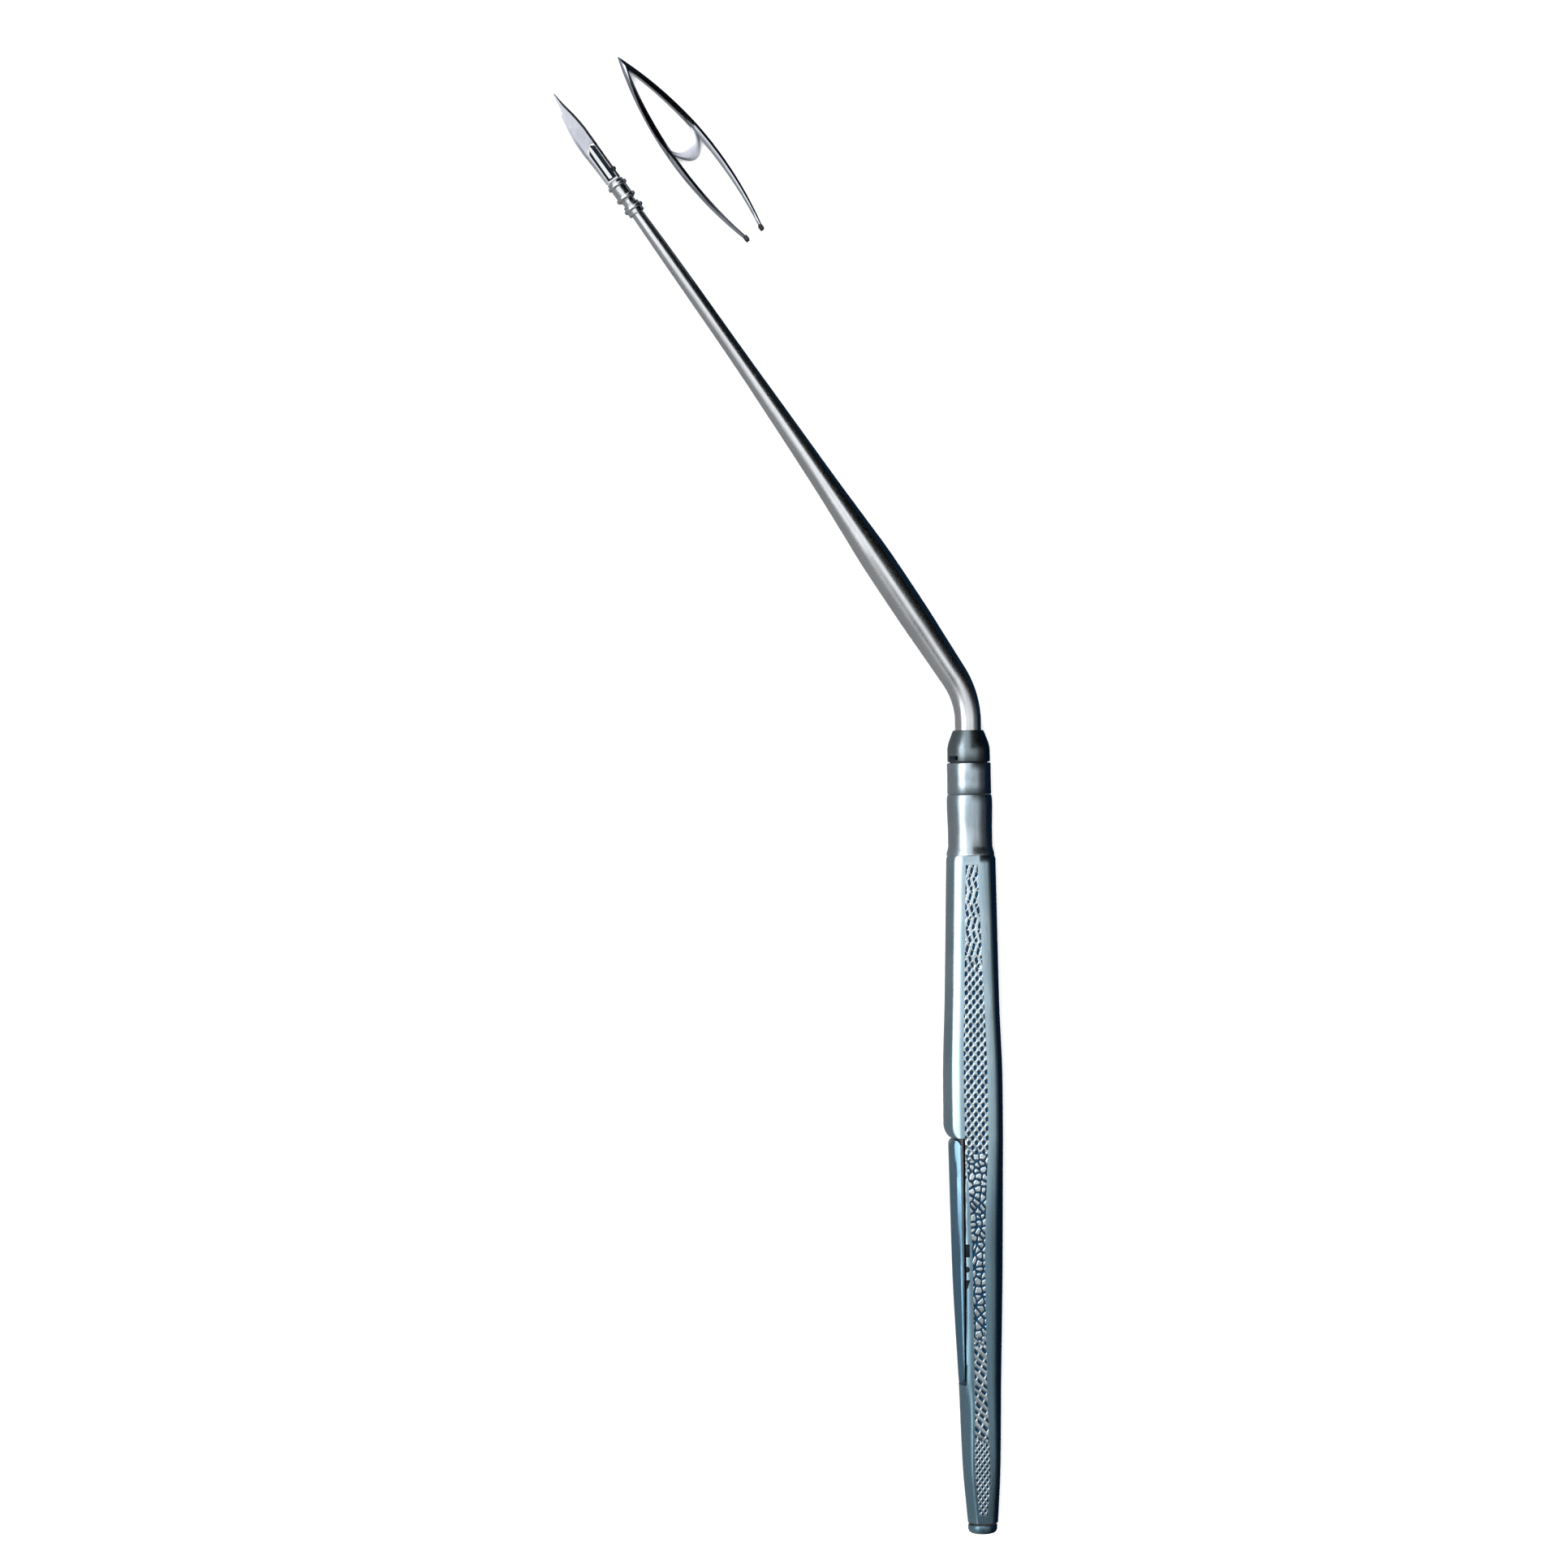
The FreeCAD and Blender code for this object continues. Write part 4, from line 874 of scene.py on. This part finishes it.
# ------------------------------------------------------------------ tip holder
def make_holder():
    barrel = [(0.0, -0.02), (0.74, -0.02), (0.80, 0.05), (0.80, 4.08), (0.74, 4.15), (0.0, 4.15)]
    piece("tip_holder_barrel", *lathe(barrel, at_tip), "shank_unit", "shank_steel", SHANK,
          replaces=["tip_holder"], sharp=30.0)
    outline = [(-0.60, 4.0), (0.60, 4.0), (0.60, 5.3), (1.10, 5.32), (1.15, 5.5), (1.10, 5.72),
               (0.60, 5.75), (0.60, 9.2), (0.0, 9.5), (-0.60, 8.6)]
    tongue = [[at_tip(x, y, z) for x, y in outline] for z in (-0.48, 0.12)]
    # painted shade: the tongue takes the near-black material, darkening the blade's slot round it
    piece("tip_holder_tongue", *skin(tongue), "shank_unit", "dark_steel", PAINTED_SHADE, bevel=0.05)
    rings = []
    for y, squeeze in ((4.62, 0.75), (4.74, 1.0), (6.2, 1.0), (7.8, 1.0), (8.9, 0.85),
                       (9.42, 0.30)):
        shape = [(-0.42, 0.10), (-0.42, 0.56), (-0.36, 0.67), (0.06, 0.67), (0.16, 0.60),
                 (0.36, 0.20), (0.36, 0.10)]
        rings.append([at_tip(x * squeeze - 0.04 * (1 - squeeze), y, z) for x, z in shape])
    piece("tip_holder_rail", *skin(rings), "shank_unit", "shank_steel", SHANK, sharp=25.0)


# ------------------------------------------------------------------ blade
BLADE_LOW = 0.15
BLADE_HIGH = 0.55
BLADE_HEEL = 4.2
BLADE_LENGTH = 17.3
BLADE_LEFT = [(4.2, -1.05), (6.6, -1.12), (9.2, -1.24), (10.4, -1.24), (11.6, -1.15),
              (12.7, -1.00), (13.8, -0.83), (14.9, -0.64), (15.9, -0.40), (16.9, -0.06),
              (17.3, 0.20)]
BLADE_RIGHT = [(4.2, 0.93), (6.4, 0.93), (8.8, 0.94), (11.3, 0.95), (12.6, 0.87), (13.9, 0.72),
               (15.3, 0.49), (16.6, 0.32), (17.3, 0.25)]


def make_blade():
    rings = []
    for along in np.linspace(BLADE_HEEL, BLADE_LENGTH, 72):
        left = through(BLADE_LEFT, along)
        right = through(BLADE_RIGHT, along)
        width = right - left
        taper = min(1.0, (BLADE_LENGTH - along) / 3.5 + 0.18)
        mid = (BLADE_LOW + BLADE_HIGH) / 2
        rise = (BLADE_HIGH - BLADE_LOW) / 2 * taper
        bevel = min(0.32, width * 0.3)
        ring = [(left, mid - rise * 0.4), (left, mid + rise * 0.15), (left + bevel, mid + rise),
                ((left + right) / 2, mid + rise), (right - bevel, mid + rise),
                (right, mid + rise * 0.15), (right, mid - rise * 0.4),
                (right - bevel * 0.5, mid - rise), (left + bevel * 0.5, mid - rise)]
        rings.append([at_tip(x, along, z) for x, z in ring])
    blade = piece("blade_spear", *skin(rings), "blade_unit", "blade_steel", BLADE,
                  replaces=["blade"], sharp=22.0)
    # the blade's slot, its walls painted near-black as the shadow in the gap
    outline = [(-0.66, 4.45), (0.64, 4.45), (0.64, 9.45), (0.45, 9.6), (0.05, 9.6), (-0.3, 9.35),
               (-0.66, 8.95)]
    slot = [[at_tip(x, y, z) for x, y in outline] for z in (-0.5, 1.2)]
    cut(blade, *skin(slot), PAINTED_SHADE)


# ------------------------------------------------------------------ hoop guard
OUTER_ARC, OUTER_HALF, OUTER_BELLY = 47.6, 2.75, 11.3
INNER_ARC, INNER_HALF, INNER_BELLY = 56.0, 2.0, 10.3


def arc_half(radius, half, belly, y):
    """Half width at y of a leaf shape made of two arcs."""
    return half - (radius - math.sqrt(max(0.0, radius ** 2 - (y - belly) ** 2)))


def arc_top(radius, half, belly):
    """Where the two arcs of a leaf shape meet."""
    return belly + math.sqrt(radius ** 2 - (radius - half) ** 2)


# where the limbs' ridge lies between the inner and the outer edge, and how far the edges fall
RIDGE_RIGHT = [(0.0, 0.50), (14.0, 0.50), (19.0, 0.12), (27.0, 0.08)]
RIDGE_LEFT = [(0.0, 0.75), (6.0, 0.55), (13.0, 0.50), (17.0, 0.85), (20.0, 0.80), (27.0, 0.25)]
FALL_RIGHT = [(0.0, 0.14), (14.0, 0.16), (19.0, 0.50), (27.0, 0.55)]
FALL_LEFT = [(0.0, 0.45), (6.0, 0.30), (12.0, 0.24), (17.0, 0.45), (20.0, 0.42), (27.0, 0.30)]


def make_guard():
    inner_top = arc_top(INNER_ARC, INNER_HALF, INNER_BELLY)
    outer_top = arc_top(OUTER_ARC, OUTER_HALF, OUTER_BELLY)
    rings = []
    for side, order in ((-1, 1), (1, -1)):
        rows = []
        ridge = RIDGE_LEFT if side == -1 else RIDGE_RIGHT
        fall = FALL_LEFT if side == -1 else FALL_RIGHT
        for share in np.linspace(0.0, 1.0, 90):
            inner_y = inner_top * share
            outer_y = (outer_top - 0.03) * share
            inner = arc_half(INNER_ARC, INNER_HALF, INNER_BELLY, inner_y)
            outer = arc_half(OUTER_ARC, OUTER_HALF, OUTER_BELLY, outer_y)
            rows.append(guard_slice(side, (max(inner, 0.0), inner_y), (max(outer, 0.0), outer_y),
                                    through(ridge, outer_y), through(fall, outer_y)))
        rings += rows[::order]
    piece("tip_guard_hoop", *skin(rings), "guard", "plain_steel", HOOP, replaces=["tip_guard"],
          sharp=30.0)


def guard_slice(side, inner, outer, ridge_share, fall):
    """Cross section of the hoop from a point of its inner edge to one of its outer edge."""
    edge = GUARD_HEIGHT - fall
    middle = (edge + GUARD_HEIGHT) / 2 + 0.04
    shares = [(0.0, 0.10), (0.15, 0.0), (0.85, 0.0), (1.0, 0.10), (1.0, edge),
              (ridge_share + (1 - ridge_share) * 0.5, middle), (ridge_share, GUARD_HEIGHT),
              (ridge_share * 0.5, middle), (0.0, edge)]
    return [at_guard(side * (inner[0] + (outer[0] - inner[0]) * share),
                     inner[1] + (outer[1] - inner[1]) * share, z) for share, z in shares]


WEB_LOW, WEB_LOW_CLIMB = 11.3, 3.0
WEB_HIGH, WEB_CLIMB_LEFT, WEB_CLIMB_RIGHT = 12.9, 2.3, 5.0
WEB_SUNK = 0.35


def make_web():
    """A band across the hoop; its upper edge runs up the right limb."""
    rings = []
    for share in np.linspace(-1.0, 1.0, 45):
        climb = WEB_CLIMB_RIGHT if share > 0 else WEB_CLIMB_LEFT
        edges = []
        for y in (WEB_LOW + WEB_LOW_CLIMB * abs(share) ** 2.2,
                  WEB_HIGH + climb * abs(share) ** 3.5):
            width = arc_half(OUTER_ARC, OUTER_HALF, OUTER_BELLY, y) - WEB_SUNK
            edges.append((width * share, y))
        (x_low, y_low), (x_high, y_high) = edges
        rings.append([at_guard(x_low + (x_high - x_low) * part, y_low + (y_high - y_low) * part, z)
                      for part, z in ((0.0, 0.75), (0.5, 0.70), (1.0, 0.75), (1.0, 1.0),
                                      (0.75, 1.08), (0.5, 1.10), (0.25, 1.08), (0.0, 1.0))])
    piece("tip_guard_web", *skin(rings), "guard", "plain_steel", BLADE)


def make_pads():
    mouth = arc_half(OUTER_ARC, OUTER_HALF, OUTER_BELLY, 0.0)
    for side, name in ((1, "right"), (-1, "left")):
        low, high = sorted((side * mouth, side * (mouth - 0.5)))
        verts, faces = block(low, high, -0.7, -0.01, 0.0, GUARD_HEIGHT, at_guard)
        piece("guard_pad_" + name, verts, faces, "guard", "seal_rubber", RUBBER,
              replaces=["guard_pads"] if side == 1 else (), bevel=0.1)


# ------------------------------------------------------------------ CAD nodes that stay
def finish_cad_nodes():
    finishes = {
        "draw_rod": PLAIN, "spring_seat": PLAIN, "return_spring": PLAIN, "collet": PLAIN,
        "guide_bush": BRASS, "nose_seal": RUBBER, "lever_pin": PAINTED_SHADE,
    }
    for name, material in finishes.items():
        mesh = frame["nodes"][name].data
        mesh.materials.clear()
        mesh.materials.append(material)


make_shell()
make_lever()
make_strip("front_grip_knurl", "front_grip", 1)
make_strip("back_grip_knurl", "back_grip", -1)
make_butt()
make_neck()
make_ring()
make_nose()
make_shank()
make_tip_rings()
make_holder()
make_blade()
make_guard()
make_web()
make_pads()
finish_cad_nodes()


# ------------------------------------------------------------------ floor, light and camera
FLOOR_HALF = 4.0
SOFTBOX_SIZE = 1.6
SOFTBOX_POWER = 32.0
SOFTBOX_HEIGHT = 1.3
LENS = 100.0
CAMERA_HEIGHT = 0.540
CAMERA_TURN = -1.05


def make_floor():
    material, nodes, shader = new_material("floor")
    shader.inputs["Roughness"].default_value = 0.9
    cloud = nodes.noise(nodes.stretched((0.02, 0.02, 0.02)), 1.0)
    nodes.link(nodes.mixed(cloud, (0.93, 0.93, 0.93), (0.91, 0.91, 0.92)),
               shader.inputs["Base Color"])
    size = FLOOR_HALF
    mesh = bpy.data.meshes.new("floor")
    mesh.from_pydata([(-size, -size, 0), (size, -size, 0), (size, size, 0), (-size, size, 0)],
                     [], [(0, 1, 2, 3)])
    mesh.materials.append(material)
    floor = bpy.data.objects.new("floor", mesh)
    bpy.context.scene.collection.objects.link(floor)
    floor.visible_glossy = False


def make_world():
    """A soft studio all round: bright above and to the left, dark ahead and low on the right."""
    world = bpy.data.worlds.new("studio")
    world.use_nodes = True
    bpy.context.scene.world = world
    nodes = Nodes(world.node_tree)
    direction = nodes.add("ShaderNodeTexCoord").outputs["Generated"]
    split = nodes.add("ShaderNodeSeparateXYZ")
    nodes.link(direction, split.inputs["Vector"])
    x, y, z = split.outputs
    left = nodes.ranged(x, -0.36, -0.60, 1.15, 4.2)
    right = nodes.ranged(x, 0.52, 0.95, 1.0, 0.10)
    dark_ahead = nodes.maths("MULTIPLY", nodes.ranged(y, 0.05, 0.22, 0.0, 1.0),
                             nodes.ranged(x, 0.06, 0.22, 0.0, 1.0))
    ahead = nodes.maths("SUBTRACT", 1.0, dark_ahead)
    behind = nodes.ranged(y, -0.03, -0.22, 1.0, 0.11)
    upper = nodes.maths("MULTIPLY", nodes.maths("MULTIPLY", left, right),
                        nodes.maths("MULTIPLY", ahead, behind))
    lower = nodes.ranged(x, -0.2, 0.2, 0.27, 0.03)
    lift = nodes.ranged(x, -0.2, -0.5, 0.0, 0.55)
    share = nodes.ranged(nodes.maths("SUBTRACT", z, lift), -0.10, 0.15, 0.0, 1.0)
    glow = nodes.add("ShaderNodeMix", data_type="FLOAT")
    nodes.link(share, glow.inputs[0])
    nodes.link(lower, glow.inputs[2])
    nodes.link(upper, glow.inputs[3])
    background = nodes.add("ShaderNodeBackground")
    navy = nodes.maths("MULTIPLY", nodes.ranged(share, 0.0, 1.0, 1.0, 0.0),
                       nodes.ranged(x, -0.1, 0.3, 0.0, 1.0))
    nodes.link(nodes.mixed(navy, (0.97, 0.99, 1.0), (0.10, 0.45, 1.0)),
               background.inputs["Color"])
    nodes.link(glow.outputs[0], background.inputs["Strength"])
    output = nodes.add("ShaderNodeOutputWorld")
    nodes.link(background.outputs["Background"], output.inputs["Surface"])


def make_light(centre):
    light = bpy.data.lights.new("softbox", "AREA")
    light.shape = "DISK"
    light.size = SOFTBOX_SIZE
    light.energy = SOFTBOX_POWER
    obj = bpy.data.objects.new("softbox", light)
    obj.location = (centre.x, centre.y, SOFTBOX_HEIGHT)
    obj.visible_glossy = False
    bpy.context.scene.collection.objects.link(obj)


def make_camera(centre):
    camera = bpy.data.cameras.new("camera")
    camera.lens = LENS
    camera.sensor_width = 36.0
    camera.clip_start = 0.01
    obj = bpy.data.objects.new("camera", camera)
    obj.location = (centre.x, centre.y, CAMERA_HEIGHT)
    obj.rotation_euler = (0.0, 0.0, math.radians(CAMERA_TURN))
    bpy.context.scene.collection.objects.link(obj)
    bpy.context.scene.camera = obj


VIEW_CENTRE = Vector((-0.0228, 0.0427, 0.0))
make_floor()
make_world()
make_light(VIEW_CENTRE)
make_camera(VIEW_CENTRE)
bpy.context.scene.view_settings.view_transform = "Standard"
